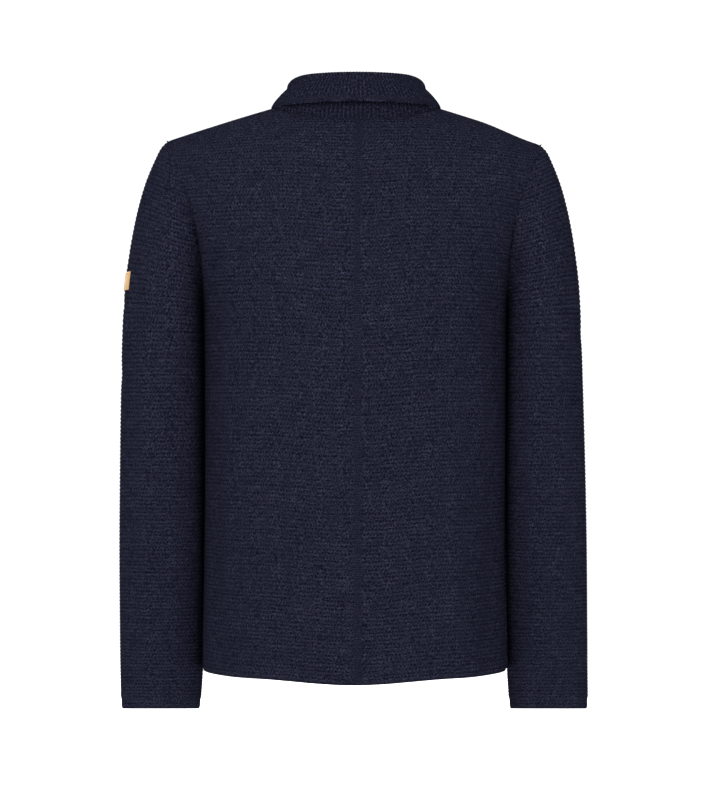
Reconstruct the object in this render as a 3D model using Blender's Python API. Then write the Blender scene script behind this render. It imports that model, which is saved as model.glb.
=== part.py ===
"""A button-through knit jacket with a folded rib collar, hollow and filled out as when worn.

The neck opening's centre, just below the points where the collar meets the shoulders, is the
origin. +Z is up and the front faces -Y, so the wearer's left is +X. The body is four cloth
panels on one smooth form, the sleeves start on the panels' armhole edges, and the collar starts
on their neck edges. Every wall has its outer points on that form and its inner points one cloth
thickness further in.
"""

import math

import bmesh
import bpy
import numpy as np

MM = 0.001

# Cloth and seams
CLOTH = 2.6 * MM
RIB_CLOTH = 3.0 * MM
SEAM_GAP = 0.3 * MM
OPENING_GAP = 0.5 * MM

# Body
HEM_Z = -661 * MM
HEM_RISE = 5.5 * MM
HEM_RISE_REACH = 110 * MM
UNDERARM_Z = -230 * MM
SHOULDER_TIP_X = 219 * MM
SHOULDER_TIP_Z = -33.5 * MM
SHOULDER_SOFTNESS = 60 * MM
SHOULDER_ROUND_Z = -210 * MM
BODY_SQUARENESS = 2.4
SHOULDER_SQUARENESS = 2.15

# Neck
NECK_HALF_WIDTH = 100 * MM
NECK_POINT_Z = 4 * MM
NECK_DROP = {"back": 18 * MM, "front": 82 * MM}

# Centre front
OVERLAP = 15 * MM
OVERLAP_EASE = 31 * MM
OVERLAP_CLEARANCE = 0.6 * MM

# Grid of each panel
NECK_COLUMNS = 6
SHOULDER_COLUMNS = 8
LOWER_ROWS = 10
ARMHOLE_ROWS = 10

# Half width of the body's form, and of the panels up to the armhole edge, in mm
BODY_WIDTHS = [
    # (z, half width)
    (-661, 180.5),
    (-560, 179.5),
    (-400, 178.5),
    (-260, 178.5),
    (-230, 179.0),
    (-190, 186.0),
    (-160, 194.5),
    (-130, 206.5),
    (-90, 225.0),
    (-60, 238.0),
    (-33.5, 247.0),
]
ARMHOLE_EDGES = [
    # (z, half width at the back armhole, half width at the front armhole)
    (-230, 179.0, 179.0),
    (-211, 179.2, 178.5),
    (-190, 179.8, 178.2),
    (-162, 181.8, 179.2),
    (-132, 186.4, 183.0),
    (-102, 194.0, 191.0),
    (-75, 205.0, 202.5),
    (-54, 213.5, 212.5),
    (-40, 218.0, 217.8),
    (-33.5, 219.0, 219.0),
]
BODY_DEPTHS = [
    # (z, depth at the centre back, depth at the centre front)
    (-661, 124, 119),
    (-540, 119, 117),
    (-420, 116, 118),
    (-300, 122, 122),
    (-200, 128, 125),
    (-120, 128, 125),
    (0, 125, 122),
]

# Sleeve: each ring runs from its inner point, nearest the body, to its outer point, in mm
SLEEVE_RINGS = [
    # (outer x, outer z, inner x, inner z, centre y, half depth, armhole's share, rise to the back)
    (219.0, -33.5, 179.0, -230, 0, 72, 1.0, 0),
    (226.5, -41, 181.4, -230, -1, 73, 0.75, 0),
    (234.5, -57, 181.3, -237, -2, 74, 0.48, 0),
    (244.5, -82, 180.8, -254, -4, 75, 0.27, 0),
    (254.5, -118, 180.4, -272, -7, 76, 0.12, 0),
    (262.5, -160, 180.0, -294, -10, 76, 0.03, 0),
    (268.3, -205, 179.6, -318, -12, 75, 0.0, 0),
    (271.3, -255, 179.4, -344, -14, 74, 0.0, 0),
    (273.0, -310, 179.4, -374, -15, 71, 0.0, 0),
    (274.4, -375, 179.4, -410, -16, 68, 0.0, 0),
    (275.4, -445, 179.8, -450, -16, 64, 0.0, 0),
    (276.0, -505, 180.3, -505, -16, 59, 0.0, 0),
    (276.2, -560, 180.9, -560, -18, 54, 0.0, 0),
    (276.2, -610, 181.8, -610, -21, 49, 0.0, 0.02),
    (276.0, -655, 183.2, -655, -24, 44, 0.0, 0.06),
    (275.6, -691, 185.4, -691, -27, 40, 0.0, 0.11),
    (275.2, -706.5, 186.4, -706.5, -28, 38, 0.0, 0.13),
]
SLEEVE_SQUARENESS = 2.15
ARMHOLE_CENTRE = np.array([230, 0, -140]) * MM

# Collar: one folded strip, by its turn around the neck from centre back to centre front, in mm.
# The fold follows a ring of the given half width and depth. The fall's edge stands out from the
# neck seam by its spread, and its sweep draws it away from the centre front.
COLLAR_SECTIONS = [
    # (turn, fold width, fold depth, fold z, edge spread, edge z, edge sweep)
    (0, 72, 62, 40, 11, 5, 0),
    (45, 72, 63, 40, 5, 4, 0),
    (90, 71, 75, 34, -5, 7, 0),
    (115, 80, 90, 24, 5, -6, 2),
    (135, 83, 97, 5, 10, -38, 8),
    (180, 80, 96.5, -44, 19, -114, 24),
]
COLLAR_END_X = 2.0 * MM
COLLAR_RIB_PITCH = 5.0 * MM
COLLAR_RIB_HEIGHT = 0.9 * MM
COLLAR_FOLD_WIDTH = 6.4 * MM
COLLAR_FOLD_DROP = 5.0 * MM
COLLAR_OFF_BODY = 5.5 * MM
# Shares of the way, sideways (twice) and up: from neck seam to fold, and from fold to edge
STAND_MIDDLE = (0.3, 0.3, 0.5)
FALL_MIDDLE = (0.6, 0.6, 0.55)
NECK_PLAN_DEPTH = {"back": 71 * MM, "front": 103 * MM}
NECK_CENTRE = np.array([0, 0, 20]) * MM

# How the jacket hangs unevenly. A sleeve's outer side stands out more (+) or less, in mm.
SLEEVE_SWINGS = [
    # (z, left, right)
    (-704, 2.2, 3.5),
    (-640, 1.8, 1.5),
    (-560, 1.8, 0.3),
    (-450, 2.0, -0.8),
    (-267, 2.6, -2.4),
    (-100, 1.5, -1.0),
    (-30, 0.0, 0.0),
]
SWING_START_X = 185 * MM
SWING_REACH = 90 * MM
RIGHT_SHOULDER_DROP = 4.5 * MM
SHOULDER_DROP_START_X = 145 * MM
SHOULDER_DROP_REACH = 65 * MM
SHOULDER_DROP_FROM_Z = -330 * MM
COLLAR_SHIFT = 3.0 * MM
COLLAR_SHIFT_FROM_Z = -140 * MM
COLLAR_SHIFT_RISE = 160 * MM
COLLAR_SHIFT_WIDTH = 219 * MM

# Buttons on the left front, on the centre line
BUTTON_TOP_Z = -145 * MM
BUTTON_PITCH = 112 * MM
BUTTON_COUNT = 5
BUTTON_RADIUS = 10 * MM
BUTTON_THICKNESS = 3.4 * MM
BUTTON_SEAT = 0.3 * MM
BUTTON_SIDES = 16
BUTTON_PROFILE = [
    # (share of the radius, share of the thickness), with a raised rim around a flat middle
    (0.0, 0.0),
    (0.8, 0.0),
    (1.0, 0.3),
    (1.0, 0.8),
    (0.85, 1.0),
    (0.6, 0.7),
    (0.0, 0.7),
]

# Leather tag on the left sleeve
TAG_TOP_Z = -188 * MM
TAG_BOTTOM_Z = -209 * MM
TAG_COLUMNS = (8.2, 8.6, 9.0, 9.5, 10.0, 10.4)
TAG_ROWS = 4
TAG_SEAT = 0.45 * MM
TAG_THICKNESS = 1.3 * MM

KNIT_NAVY = (0.0160, 0.0173, 0.0325, 1.0)
RIB_NAVY = (0.0140, 0.0150, 0.0275, 1.0)
BUTTON_NAVY = (0.0060, 0.0065, 0.0120, 1.0)
TAN_LEATHER = (0.6400, 0.4000, 0.1950, 1.0)


def smooth(at, xs, ys):
    """A curve through the table's points that never overshoots them."""
    xs, ys = np.array(xs, float), np.array(ys, float)
    steps = np.diff(xs)
    slopes = np.diff(ys) / steps
    tangents = np.zeros(len(xs))
    rising = slopes[:-1] * slopes[1:] > 0
    both = np.where(rising, slopes[:-1] + slopes[1:], 1)
    tangents[1:-1] = np.where(rising, 2 * slopes[:-1] * slopes[1:] / both, 0)
    tangents[0], tangents[-1] = slopes[0], slopes[-1]
    at = np.clip(at, xs[0], xs[-1])
    i = np.clip(np.searchsorted(xs, at, side="right") - 1, 0, len(steps) - 1)
    t = (at - xs[i]) / steps[i]
    start = (1 + 2 * t) * (1 - t) ** 2 * ys[i] + t * (1 - t) ** 2 * steps[i] * tangents[i]
    end = t**2 * (3 - 2 * t) * ys[i + 1] + t**2 * (t - 1) * steps[i] * tangents[i + 1]
    return start + end


def table(rows, column, at):
    """A column of a table in mm, read at a height or turn in the same units as its first one."""
    return smooth(at, [row[0] for row in rows], [row[column] for row in rows])


def unit(vectors):
    return vectors / np.linalg.norm(vectors, axis=-1, keepdims=True)


# --- The body's form ---


def shoulder_line(x):
    """Height of the shoulder's top edge, sloping down from the neck point to the shoulder tip."""
    neck, tip, here = (
        np.hypot(reach, SHOULDER_SOFTNESS) for reach in (NECK_HALF_WIDTH, SHOULDER_TIP_X, x)
    )
    return NECK_POINT_Z + (SHOULDER_TIP_Z - NECK_POINT_Z) * (here - neck) / (tip - neck)


def form_width(z):
    return table(BODY_WIDTHS, 1, z / MM) * MM


def full_depth(x, z, face):
    """Depth of the form below its rounded shoulders."""
    deepest = table(BODY_DEPTHS, {"back": 1, "front": 2}[face], z / MM) * MM
    across = np.clip(np.abs(x) / form_width(z), 0, 1)
    return deepest * (1 - across**BODY_SQUARENESS) ** (1 / BODY_SQUARENESS)


def form_depth(x, z, face):
    """How far the body's form stands behind (back) or before (front) the plane of its seams."""
    rise = (z - SHOULDER_ROUND_Z) / (shoulder_line(x) - SHOULDER_ROUND_Z)
    rise = np.clip(rise, 0, 1)
    round_top = (1 - rise**SHOULDER_SQUARENESS) ** (1 / SHOULDER_SQUARENESS)
    return full_depth(x, z, face) * round_top


def form_height(x, y):
    """Height of the form's shoulders at a place seen from above."""
    face = "back" if y > 0 else "front"
    share = min(abs(y) / full_depth(x, 0.0, face), 1)
    rise = (1 - share**SHOULDER_SQUARENESS) ** (1 / SHOULDER_SQUARENESS)
    return SHOULDER_ROUND_Z + rise * (shoulder_line(x) - SHOULDER_ROUND_Z)


def edge_angle(z, face):
    """Angle across the form at which a panel ends: the side seam, or the armhole above it."""
    edge = table(ARMHOLE_EDGES, {"back": 1, "front": 2}[face], z / MM) * MM
    return np.where(z <= UNDERARM_Z, math.pi / 2, np.arcsin(np.clip(edge / form_width(z), 0, 1)))


def neck_line(x, face):
    """Height of the neck edge."""
    share = np.clip(np.abs(x) / NECK_HALF_WIDTH, 0, 1)
    if face == "back":
        return NECK_POINT_Z - NECK_DROP[face] * (1 - share**2.5)
    return NECK_POINT_Z - NECK_DROP[face] * np.sqrt(1 - share**2)


def column_shares():
    """Where the columns stand between the centre and the edge, with one at the neck point."""
    widest = math.asin(SHOULDER_TIP_X / form_width(SHOULDER_TIP_Z))
    around_neck = np.linspace(0, math.pi / 2, NECK_COLUMNS + 1)
    neck_x = NECK_HALF_WIDTH * np.sin(around_neck)
    neck_part = np.arcsin(neck_x / form_width(SHOULDER_TIP_Z)) / widest
    return np.concatenate([neck_part, np.linspace(neck_part[-1], 1, SHOULDER_COLUMNS + 1)[1:]])


def ease(share):
    """0 to 1 with a soft start and end."""
    share = np.clip(share, 0, 1)
    return share * share * (3 - 2 * share)


def panel_rows(x, top):
    """Heights of a column's points, closest together by the underarm and the top.

    The hem hangs lowest at the centre.
    """
    hem = HEM_Z + HEM_RISE * ease(abs(x) / HEM_RISE_REACH)
    lower = np.linspace(hem, UNDERARM_Z, LOWER_ROWS + 1)[:-1]
    upper = (1 - np.cos(np.linspace(0, math.pi, ARMHOLE_ROWS + 1))) / 2
    return np.concatenate([lower, UNDERARM_Z + (top - UNDERARM_Z) * upper])


def form_points(face, extra_x=()):
    """A left panel's points on the form, as rows from the hem up and columns from the centre out.

    extra_x are upright columns before the first one, for the overlap at the centre front.
    """
    widest = edge_angle(SHOULDER_TIP_Z, face)
    columns = []
    for x in extra_x:
        z = panel_rows(x, neck_line(x, face))
        columns.append(np.stack([np.full_like(z, x), form_depth(x, z, face), z], axis=1))
    for i, share in enumerate(column_shares()):
        top_x = form_width(SHOULDER_TIP_Z) * math.sin(share * widest)
        top = neck_line(top_x, face) if i < NECK_COLUMNS else shoulder_line(top_x)
        z = panel_rows(top_x, top)
        x = form_width(z) * np.sin(share * edge_angle(z, face))
        columns.append(np.stack([x, form_depth(x, z, face), z], axis=1))
    return np.stack(columns, axis=1)


def grid_normals(points):
    """Unit normals of a grid of points, from its neighbours in both directions."""
    along = np.gradient(points, axis=0)
    across = np.gradient(points, axis=1)
    return unit(np.cross(across, along))


def seam_normals(line):
    """Normals along a side or shoulder seam, which lies in the plane of the seams."""
    along = np.gradient(line, axis=0)
    turned = np.stack([along[:, 2], 0 * along[:, 1], -along[:, 0]], axis=1)
    return unit(turned * np.sign(turned.sum(axis=1, keepdims=True)))


def make_panel(face, side, extra_x=(), tuck=None):
    """Outer and inner points of a panel. side is 1 for the left and -1 for the right.

    tuck gives, for a distance from the centre, how far the panel runs inside the form there.
    """
    points = form_points(face, extra_x)
    normals = grid_normals(points)
    first = len(extra_x)
    normals *= np.sign(normals[0, first, 1])
    normals[:, 0, 0] = 0 if face == "back" else normals[:, 0, 0]
    normals = unit(normals)
    normals[: LOWER_ROWS + 1, -1] = seam_normals(points[: LOWER_ROWS + 1, -1])
    normals[-1, first + NECK_COLUMNS :] = seam_normals(points[-1, first + NECK_COLUMNS :])
    outer = points
    if tuck is not None:
        outer = points - normals * tuck(points[..., :1])
    inner = outer - normals * CLOTH
    facing = np.array([side, 1 if face == "back" else -1, 1])
    clear = SEAM_GAP / 2
    for wall in (outer, inner):
        wall[..., 1] = np.maximum(wall[..., 1], clear)
        if face == "back":
            wall[..., 0] = np.maximum(wall[..., 0], clear)
    return {"outer": outer * facing, "inner": inner * facing, "first": first}


def as_hung(points):
    """Moves points a little from the even form to how the jacket really hangs."""
    hung = np.array(points, float)
    x, z = hung[..., 0].copy(), hung[..., 2].copy()
    outside = ease((np.abs(x) - SWING_START_X) / SWING_REACH)
    left, right = (table(SLEEVE_SWINGS, column, z / MM) * MM for column in (1, 2))
    hung[..., 0] += outside * np.where(x > 0, left, -right)
    near_neck = 1 - ease(np.abs(x) / COLLAR_SHIFT_WIDTH) ** 2
    hung[..., 0] -= COLLAR_SHIFT * near_neck * ease((z - COLLAR_SHIFT_FROM_Z) / COLLAR_SHIFT_RISE)
    out_right = ease((-x - SHOULDER_DROP_START_X) / SHOULDER_DROP_REACH)
    up = ease((z - SHOULDER_DROP_FROM_Z) / (SHOULDER_TIP_Z - SHOULDER_DROP_FROM_Z))
    hung[..., 2] -= RIGHT_SHOULDER_DROP * out_right * up
    return hung


# --- Meshes and materials ---


def material(name, colour, roughness):
    made = bpy.data.materials.new(name)
    made.use_nodes = True
    shader = made.node_tree.nodes["Principled BSDF"]
    shader.inputs["Base Color"].default_value = colour
    shader.inputs["Roughness"].default_value = roughness
    shader.inputs["Metallic"].default_value = 0.0
    made.diffuse_color = colour
    return made


def add_object(name, points, faces, made_of):
    mesh = bpy.data.meshes.new(name)
    mesh.from_pydata([tuple(p) for p in as_hung(points)], [], faces)
    shape = bmesh.new()
    shape.from_mesh(mesh)
    bmesh.ops.recalc_face_normals(shape, faces=shape.faces)
    shape.to_mesh(mesh)
    shape.free()
    mesh.shade_smooth()
    mesh.set_sharp_from_angle(angle=math.radians(50))
    mesh.materials.append(made_of)
    placed = bpy.data.objects.new(name, mesh)
    bpy.context.scene.collection.objects.link(placed)
    return placed


def wall_faces(rows, columns, closed):
    """Faces of a wall: outer skin, inner skin, and rims. closed joins the last column to the first."""
    inner = rows * columns
    faces = []
    for r in range(rows - 1):
        for c in range(columns if closed else columns - 1):
            d = (c + 1) % columns
            quad = (r * columns + c, r * columns + d, (r + 1) * columns + d, (r + 1) * columns + c)
            faces.append(quad)
            faces.append(tuple(inner + i for i in reversed(quad)))
    rim = [[r * columns + c for c in range(columns)] for r in (0, rows - 1)]
    if closed:
        rim = [edge + edge[:1] for edge in rim]
    else:
        rim += [[r * columns + c for r in range(rows)] for c in (0, columns - 1)]
    for edge in rim:
        for a, b in zip(edge, edge[1:]):
            faces.append((a, b, inner + b, inner + a))
    return faces


def add_wall(name, outer, inner, made_of, closed=False):
    rows, columns = outer.shape[:2]
    points = np.concatenate([outer.reshape(-1, 3), inner.reshape(-1, 3)])
    return add_object(name, points, wall_faces(rows, columns, closed), made_of)


def into_opening(edge, inside_edge, along, centre):
    """Directions in the cloth's own surface from an edge's points into the opening beside it."""
    directions = unit(np.cross(edge - inside_edge, along))
    towards = ((centre - edge) * directions).sum(axis=1, keepdims=True)
    return directions * np.sign(towards)


# --- Sleeves ---


def armhole_loop(back, front, wall):
    """A wall's armhole edge as a ring: underarm, up the back, shoulder point, down the front."""
    up = back[wall][LOWER_ROWS:, -1]
    down = front[wall][LOWER_ROWS:, -1][::-1]
    shoulder = (up[-1] + down[0]) / 2
    underarm = (up[0] + down[-1]) / 2
    return np.concatenate([[underarm], up[1:-1], [shoulder], down[1:-1]])


def make_sleeve(back, front, side):
    """Outer and inner points of a sleeve, as rings from the armhole down to the cuff."""
    mirror = np.array([side, 1, 1])
    loop = armhole_loop(back, front, "outer") * mirror
    inside_loop = armhole_loop(back, front, "inner") * mirror
    tangent = np.roll(loop, -1, axis=0) - np.roll(loop, 1, axis=0)
    gap = OPENING_GAP * into_opening(loop, inside_loop, tangent, ARMHOLE_CENTRE)

    angles = 2 * math.pi * np.arange(len(loop)) / len(loop)
    along = -np.sign(np.cos(angles)) * np.abs(np.cos(angles)) ** (2 / SLEEVE_SQUARENESS)
    deep = np.sign(np.sin(angles)) * np.abs(np.sin(angles)) ** (2 / SLEEVE_SQUARENESS)
    ovals = []
    for outer_x, outer_z, inner_x, inner_z, centre_y, half_depth, _, rise in SLEEVE_RINGS:
        top = np.array([outer_x, centre_y, outer_z]) * MM
        bottom = np.array([inner_x, centre_y, inner_z]) * MM
        oval = (top + bottom) / 2 + along[:, None] * (top - bottom) / 2
        oval += (deep * half_depth * MM)[:, None] * (0, 1, rise)
        ovals.append(oval)
    armhole = loop - ovals[0]
    outer = np.stack([oval + row[6] * armhole for oval, row in zip(ovals, SLEEVE_RINGS)])
    outer[0] = loop + gap

    ring = np.roll(outer, -1, axis=1) - np.roll(outer, 1, axis=1)
    normals = unit(np.cross(np.gradient(outer, axis=0), ring))
    centres = outer.mean(axis=1, keepdims=True)
    normals *= np.sign(((outer - centres) * normals).sum(axis=2, keepdims=True))
    inner = outer - normals * CLOTH
    inner[0] = inside_loop + gap
    return outer * mirror, inner * mirror


# --- Collar ---


def neck_side(back, front):
    """The panels' neck edges on one side, from the centre front to the centre back.

    Each row holds a point of the outer edge, one of the inner edge and the way into the opening.
    """
    edges = []
    for wall in ("outer", "inner"):
        ahead, behind = (
            panel[wall][-1, : panel["first"] + NECK_COLUMNS + 1] for panel in (front, back)
        )
        corner = (ahead[-1] + behind[-1]) / 2
        edges.append(np.concatenate([ahead[:-1], [corner], behind[:-1][::-1]]))
    outer, inner = edges
    inwards = into_opening(outer, inner, np.gradient(outer, axis=0), NECK_CENTRE)
    return np.concatenate([outer, inner, inwards], axis=1)


def start_at(lines, x):
    """Cuts the lines of one side's neck edge off at x beside the centre front."""
    ahead = lines[:, 1] < 0
    order = np.sign(x) * lines[:, 0]
    last_before = np.flatnonzero(ahead & (order < abs(x)))[-1]
    share = (abs(x) - order[last_before]) / (order[last_before + 1] - order[last_before])
    first = lines[last_before] + share * (lines[last_before + 1] - lines[last_before])
    return np.concatenate([[first], lines[last_before + 1 :]])


def collar_base(panels):
    """Stations around the whole neck edge, two for each rib, from the left to the right end.

    The neck points and the centre back are stations, so the seam keeps its gap at the corners.
    """
    left = start_at(neck_side(panels["back_left"], panels["front_left"]), COLLAR_END_X)
    right = start_at(neck_side(panels["back_right"], panels["front_right"]), -COLLAR_END_X)
    back_centre = (left[-1] + right[-1]) / 2
    line = np.concatenate([left[:-1], [back_centre], right[:-1][::-1]])
    steps = np.linalg.norm(np.diff(line[:, :3], axis=0), axis=1)
    travelled = np.concatenate([[0], np.cumsum(steps)])
    centre = len(left) - 1
    corners = [0, centre - NECK_COLUMNS, centre, centre + NECK_COLUMNS, len(line) - 1]
    places = [0.0]
    for a, b in zip(travelled[corners], travelled[corners[1:]]):
        ribs = round((b - a) / COLLAR_RIB_PITCH)
        places.extend(np.linspace(a, b, 2 * ribs + 1)[1:])
    stations = np.stack([np.interp(places, travelled, column) for column in line.T], axis=1)
    return stations[:, :3], stations[:, 3:6], unit(stations[:, 6:])


def off_the_body(point):
    """Lifts a point of the fall until it is clear of the shoulders and fronts."""
    point[2] = max(point[2], form_height(point[0], point[1]) + COLLAR_OFF_BODY)
    return point


def collar_section(outer_edge, inner_edge, inwards, raised):
    """One closed section of the collar: up the stand's neck side, over, and down the fall."""
    base_out = outer_edge + inwards * OPENING_GAP
    base_in = inner_edge + inwards * OPENING_GAP
    base = (base_out + base_in) / 2
    plan_depth = NECK_PLAN_DEPTH["back" if base[1] > 0 else "front"]
    turn = math.atan2(abs(base[0]) / NECK_HALF_WIDTH, base[1] / plan_depth)
    side_of_neck = math.copysign(1, base[0])
    fold_width, fold_depth, fold_z, spread, edge_z, sweep = (
        table(COLLAR_SECTIONS, column, math.degrees(turn)) * MM for column in range(1, 7)
    )
    out = unit(np.array([base[0] / NECK_HALF_WIDTH**2, base[1] / plan_depth**2, 0]))
    fold_x = max(fold_width * math.sin(turn), min(abs(base[0]), COLLAR_END_X))
    fold = np.array([side_of_neck * fold_x, fold_depth * math.cos(turn), fold_z])
    edge = base + spread * out + (side_of_neck * sweep, 0, 0)
    edge[2] = edge_z
    level = np.array([0, 0, 1])
    lower = fold - COLLAR_FOLD_DROP * level
    over_fold = fold + COLLAR_FOLD_WIDTH / 2 * out - RIB_CLOTH / 2 * level
    path = np.array(
        [
            base,
            base + (lower - base) * STAND_MIDDLE,
            lower,
            over_fold,
            lower + COLLAR_FOLD_WIDTH * out,
            off_the_body(fold + (edge - fold) * FALL_MIDDLE),
            off_the_body(edge),
        ]
    )
    across = np.cross(out, level)
    run = np.gradient(path, axis=0)
    run -= (run @ across)[:, None] * across
    side = unit(np.cross(across, run))
    side *= np.sign(side[1] @ -out)
    over = path + side * RIB_CLOTH / 2
    under = path - side * RIB_CLOTH / 2
    ridge = (COLLAR_RIB_HEIGHT / 2) * (1 if raised else -1)
    over[3:] += side[3:] * ridge
    under[1:3] -= side[1:3] * ridge
    return np.array([base_in, *over[1:], *under[:3:-1], *under[2:0:-1], base_out])


def add_collar(panels, made_of):
    outer_edge, inner_edge, inwards = collar_base(panels)
    sections = np.array(
        [
            collar_section(outer_edge[i], inner_edge[i], inwards[i], i % 2 == 0)
            for i in range(len(outer_edge))
        ]
    )
    stations, around = sections.shape[:2]
    faces = []
    for s in range(stations - 1):
        for a in range(around):
            b = (a + 1) % around
            faces.append((s * around + a, s * around + b, (s + 1) * around + b, (s + 1) * around + a))
    faces.append(tuple(range(around)))
    faces.append(tuple((stations - 1) * around + a for a in reversed(range(around))))
    return add_object("collar", sections.reshape(-1, 3), faces, made_of)


# --- Buttons and tag ---


def add_button(name, z, made_of):
    """A plain turned button that stands on the left front at the centre line."""
    shape = bmesh.new()
    verts = [
        shape.verts.new((radius * BUTTON_RADIUS, 0, -height * BUTTON_THICKNESS))
        for radius, height in BUTTON_PROFILE
    ]
    edges = [shape.edges.new(pair) for pair in zip(verts, verts[1:])]
    bmesh.ops.spin(
        shape,
        geom=verts + edges,
        axis=(0, 0, 1),
        cent=(0, 0, 0),
        steps=BUTTON_SIDES,
        angle=2 * math.pi,
        use_merge=True,
    )
    bmesh.ops.remove_doubles(shape, verts=shape.verts, dist=0.0001 * MM)
    bmesh.ops.recalc_face_normals(shape, faces=shape.faces)
    mesh = bpy.data.meshes.new(name)
    shape.to_mesh(mesh)
    shape.free()
    mesh.materials.append(made_of)
    mesh.shade_smooth()
    mesh.set_sharp_from_angle(angle=math.radians(35))
    placed = bpy.data.objects.new(name, mesh)
    bpy.context.scene.collection.objects.link(placed)
    reach = BUTTON_RADIUS
    surface = [form_depth(0.0, z + step, "front") for step in (-reach, 0, reach)]
    tilt = math.atan2(surface[0] - surface[2], 2 * reach)
    placed.rotation_euler = (-math.pi / 2 - tilt, 0, 0)
    proud = max(surface[1], (surface[0] + surface[2]) / 2) + BUTTON_SEAT
    placed.location = (0, -proud, z)
    return placed


def on_grid(grid, row, column):
    """A point between a grid's points, by its row and column number."""
    r, c = int(row), int(column)
    u, v = row - r, column - c
    top = grid[r, c] * (1 - v) + grid[r, c + 1] * v
    bottom = grid[r + 1, c] * (1 - v) + grid[r + 1, c + 1] * v
    return top * (1 - u) + bottom * u


def add_tag(sleeve, made_of):
    """A leather rectangle laid on the outer side of the left sleeve."""
    outer, inner = sleeve
    rows = np.arange(len(outer))
    seat = []
    for z in np.linspace(TAG_TOP_Z, TAG_BOTTOM_Z, TAG_ROWS):
        line = []
        for column in TAG_COLUMNS:
            heights = [on_grid(outer, min(r, len(outer) - 1.001), column)[2] for r in rows]
            row = np.interp(-z, [-h for h in heights], rows)
            surface = on_grid(outer, row, column)
            normal = unit(surface - on_grid(inner, row, column))
            line.append((surface + normal * TAG_SEAT, surface + normal * (TAG_SEAT + TAG_THICKNESS)))
        seat.append(line)
    seat = np.array(seat)
    return add_wall("sleeve_tag", seat[:, :, 1], seat[:, :, 0], made_of)


def tuck_under(x):
    """How far the right front runs inside the form where it lies under the left one."""
    return (CLOTH + OVERLAP_CLEARANCE) * ease((OVERLAP + OVERLAP_EASE - x) / OVERLAP_EASE)


def main():
    for old in list(bpy.data.objects):
        bpy.data.objects.remove(old)
    knit = material("navy knit", KNIT_NAVY, 0.95)
    rib = material("navy rib knit", RIB_NAVY, 0.95)
    horn = material("navy button", BUTTON_NAVY, 0.35)
    leather = material("tan leather", TAN_LEATHER, 0.6)

    panels = {
        "back_left": make_panel("back", 1),
        "back_right": make_panel("back", -1),
        "front_left": make_panel("front", 1, extra_x=(-OVERLAP,)),
        "front_right": make_panel("front", -1, extra_x=(-OVERLAP,), tuck=tuck_under),
    }
    for name, panel in panels.items():
        add_wall(name, panel["outer"], panel["inner"], knit)
    for name, side in (("left", 1), ("right", -1)):
        sleeve = make_sleeve(panels[f"back_{name}"], panels[f"front_{name}"], side)
        add_wall(f"sleeve_{name}", *sleeve, knit, closed=True)
        if name == "left":
            add_tag(sleeve, leather)
    add_collar(panels, rib)
    for i in range(BUTTON_COUNT):
        add_button(f"button_{i + 1}", BUTTON_TOP_Z - i * BUTTON_PITCH, horn)


main()
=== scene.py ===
"""A navy knit jacket with a folded rib collar, buttoned and filled out as when worn.

Lengths are in metres. The front faces -Y, the back +Y, and the wearer's left is +X. Each cloth
piece is a thin shell on its solid's form, with every course of the knit raised as a ridge on it.
"""

import math

import bmesh
import bpy
import numpy as np
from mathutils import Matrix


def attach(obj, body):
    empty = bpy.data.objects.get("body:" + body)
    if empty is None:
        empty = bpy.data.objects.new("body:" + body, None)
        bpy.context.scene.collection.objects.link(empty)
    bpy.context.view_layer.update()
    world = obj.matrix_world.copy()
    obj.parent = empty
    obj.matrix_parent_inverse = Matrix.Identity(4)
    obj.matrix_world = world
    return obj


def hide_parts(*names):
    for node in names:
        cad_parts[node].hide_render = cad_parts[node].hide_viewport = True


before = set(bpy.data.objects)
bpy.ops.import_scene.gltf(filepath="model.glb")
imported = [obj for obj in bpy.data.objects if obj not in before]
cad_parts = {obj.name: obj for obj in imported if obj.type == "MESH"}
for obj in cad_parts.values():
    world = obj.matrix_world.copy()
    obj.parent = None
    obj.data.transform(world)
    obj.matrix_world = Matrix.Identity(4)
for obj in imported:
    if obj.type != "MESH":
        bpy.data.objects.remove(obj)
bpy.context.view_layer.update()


# --- Backs and fronts ---
# Two backs and two fronts of felted wool, knitted with the purl side out, 2.6 mm thick. They are
# sewn together at the centre back, the sides and the shoulders, and the left front laps over the
# right one. The hem is a plain edge band without ridges.

MM = 0.001
CLOTH = 2.6 * MM
SEAM_GAP = 0.04 * MM
BACK_SEAM_LAP = 0.1 * MM
HEM_Z = -661 * MM
HEM_RISE = 5.5 * MM
HEM_RISE_REACH = 110 * MM
UNDERARM_Z = -230 * MM
SHOULDER_TIP_X = 219 * MM
SHOULDER_TIP_Z = -33.5 * MM
SHOULDER_SOFTNESS = 60 * MM
SHOULDER_ROUND_Z = -210 * MM
BODY_SQUARENESS = 2.4
SHOULDER_SQUARENESS = 2.15
NECK_HALF_WIDTH = 100 * MM
NECK_POINT_Z = 4 * MM
NECK_DROP = {"back": 18 * MM, "front": 82 * MM}
BACK_NECK_POWER = 2.5
OVERLAP = 15 * MM
OVERLAP_EASE = 31 * MM
OVERLAP_CLEARANCE = 0.6 * MM

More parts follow.
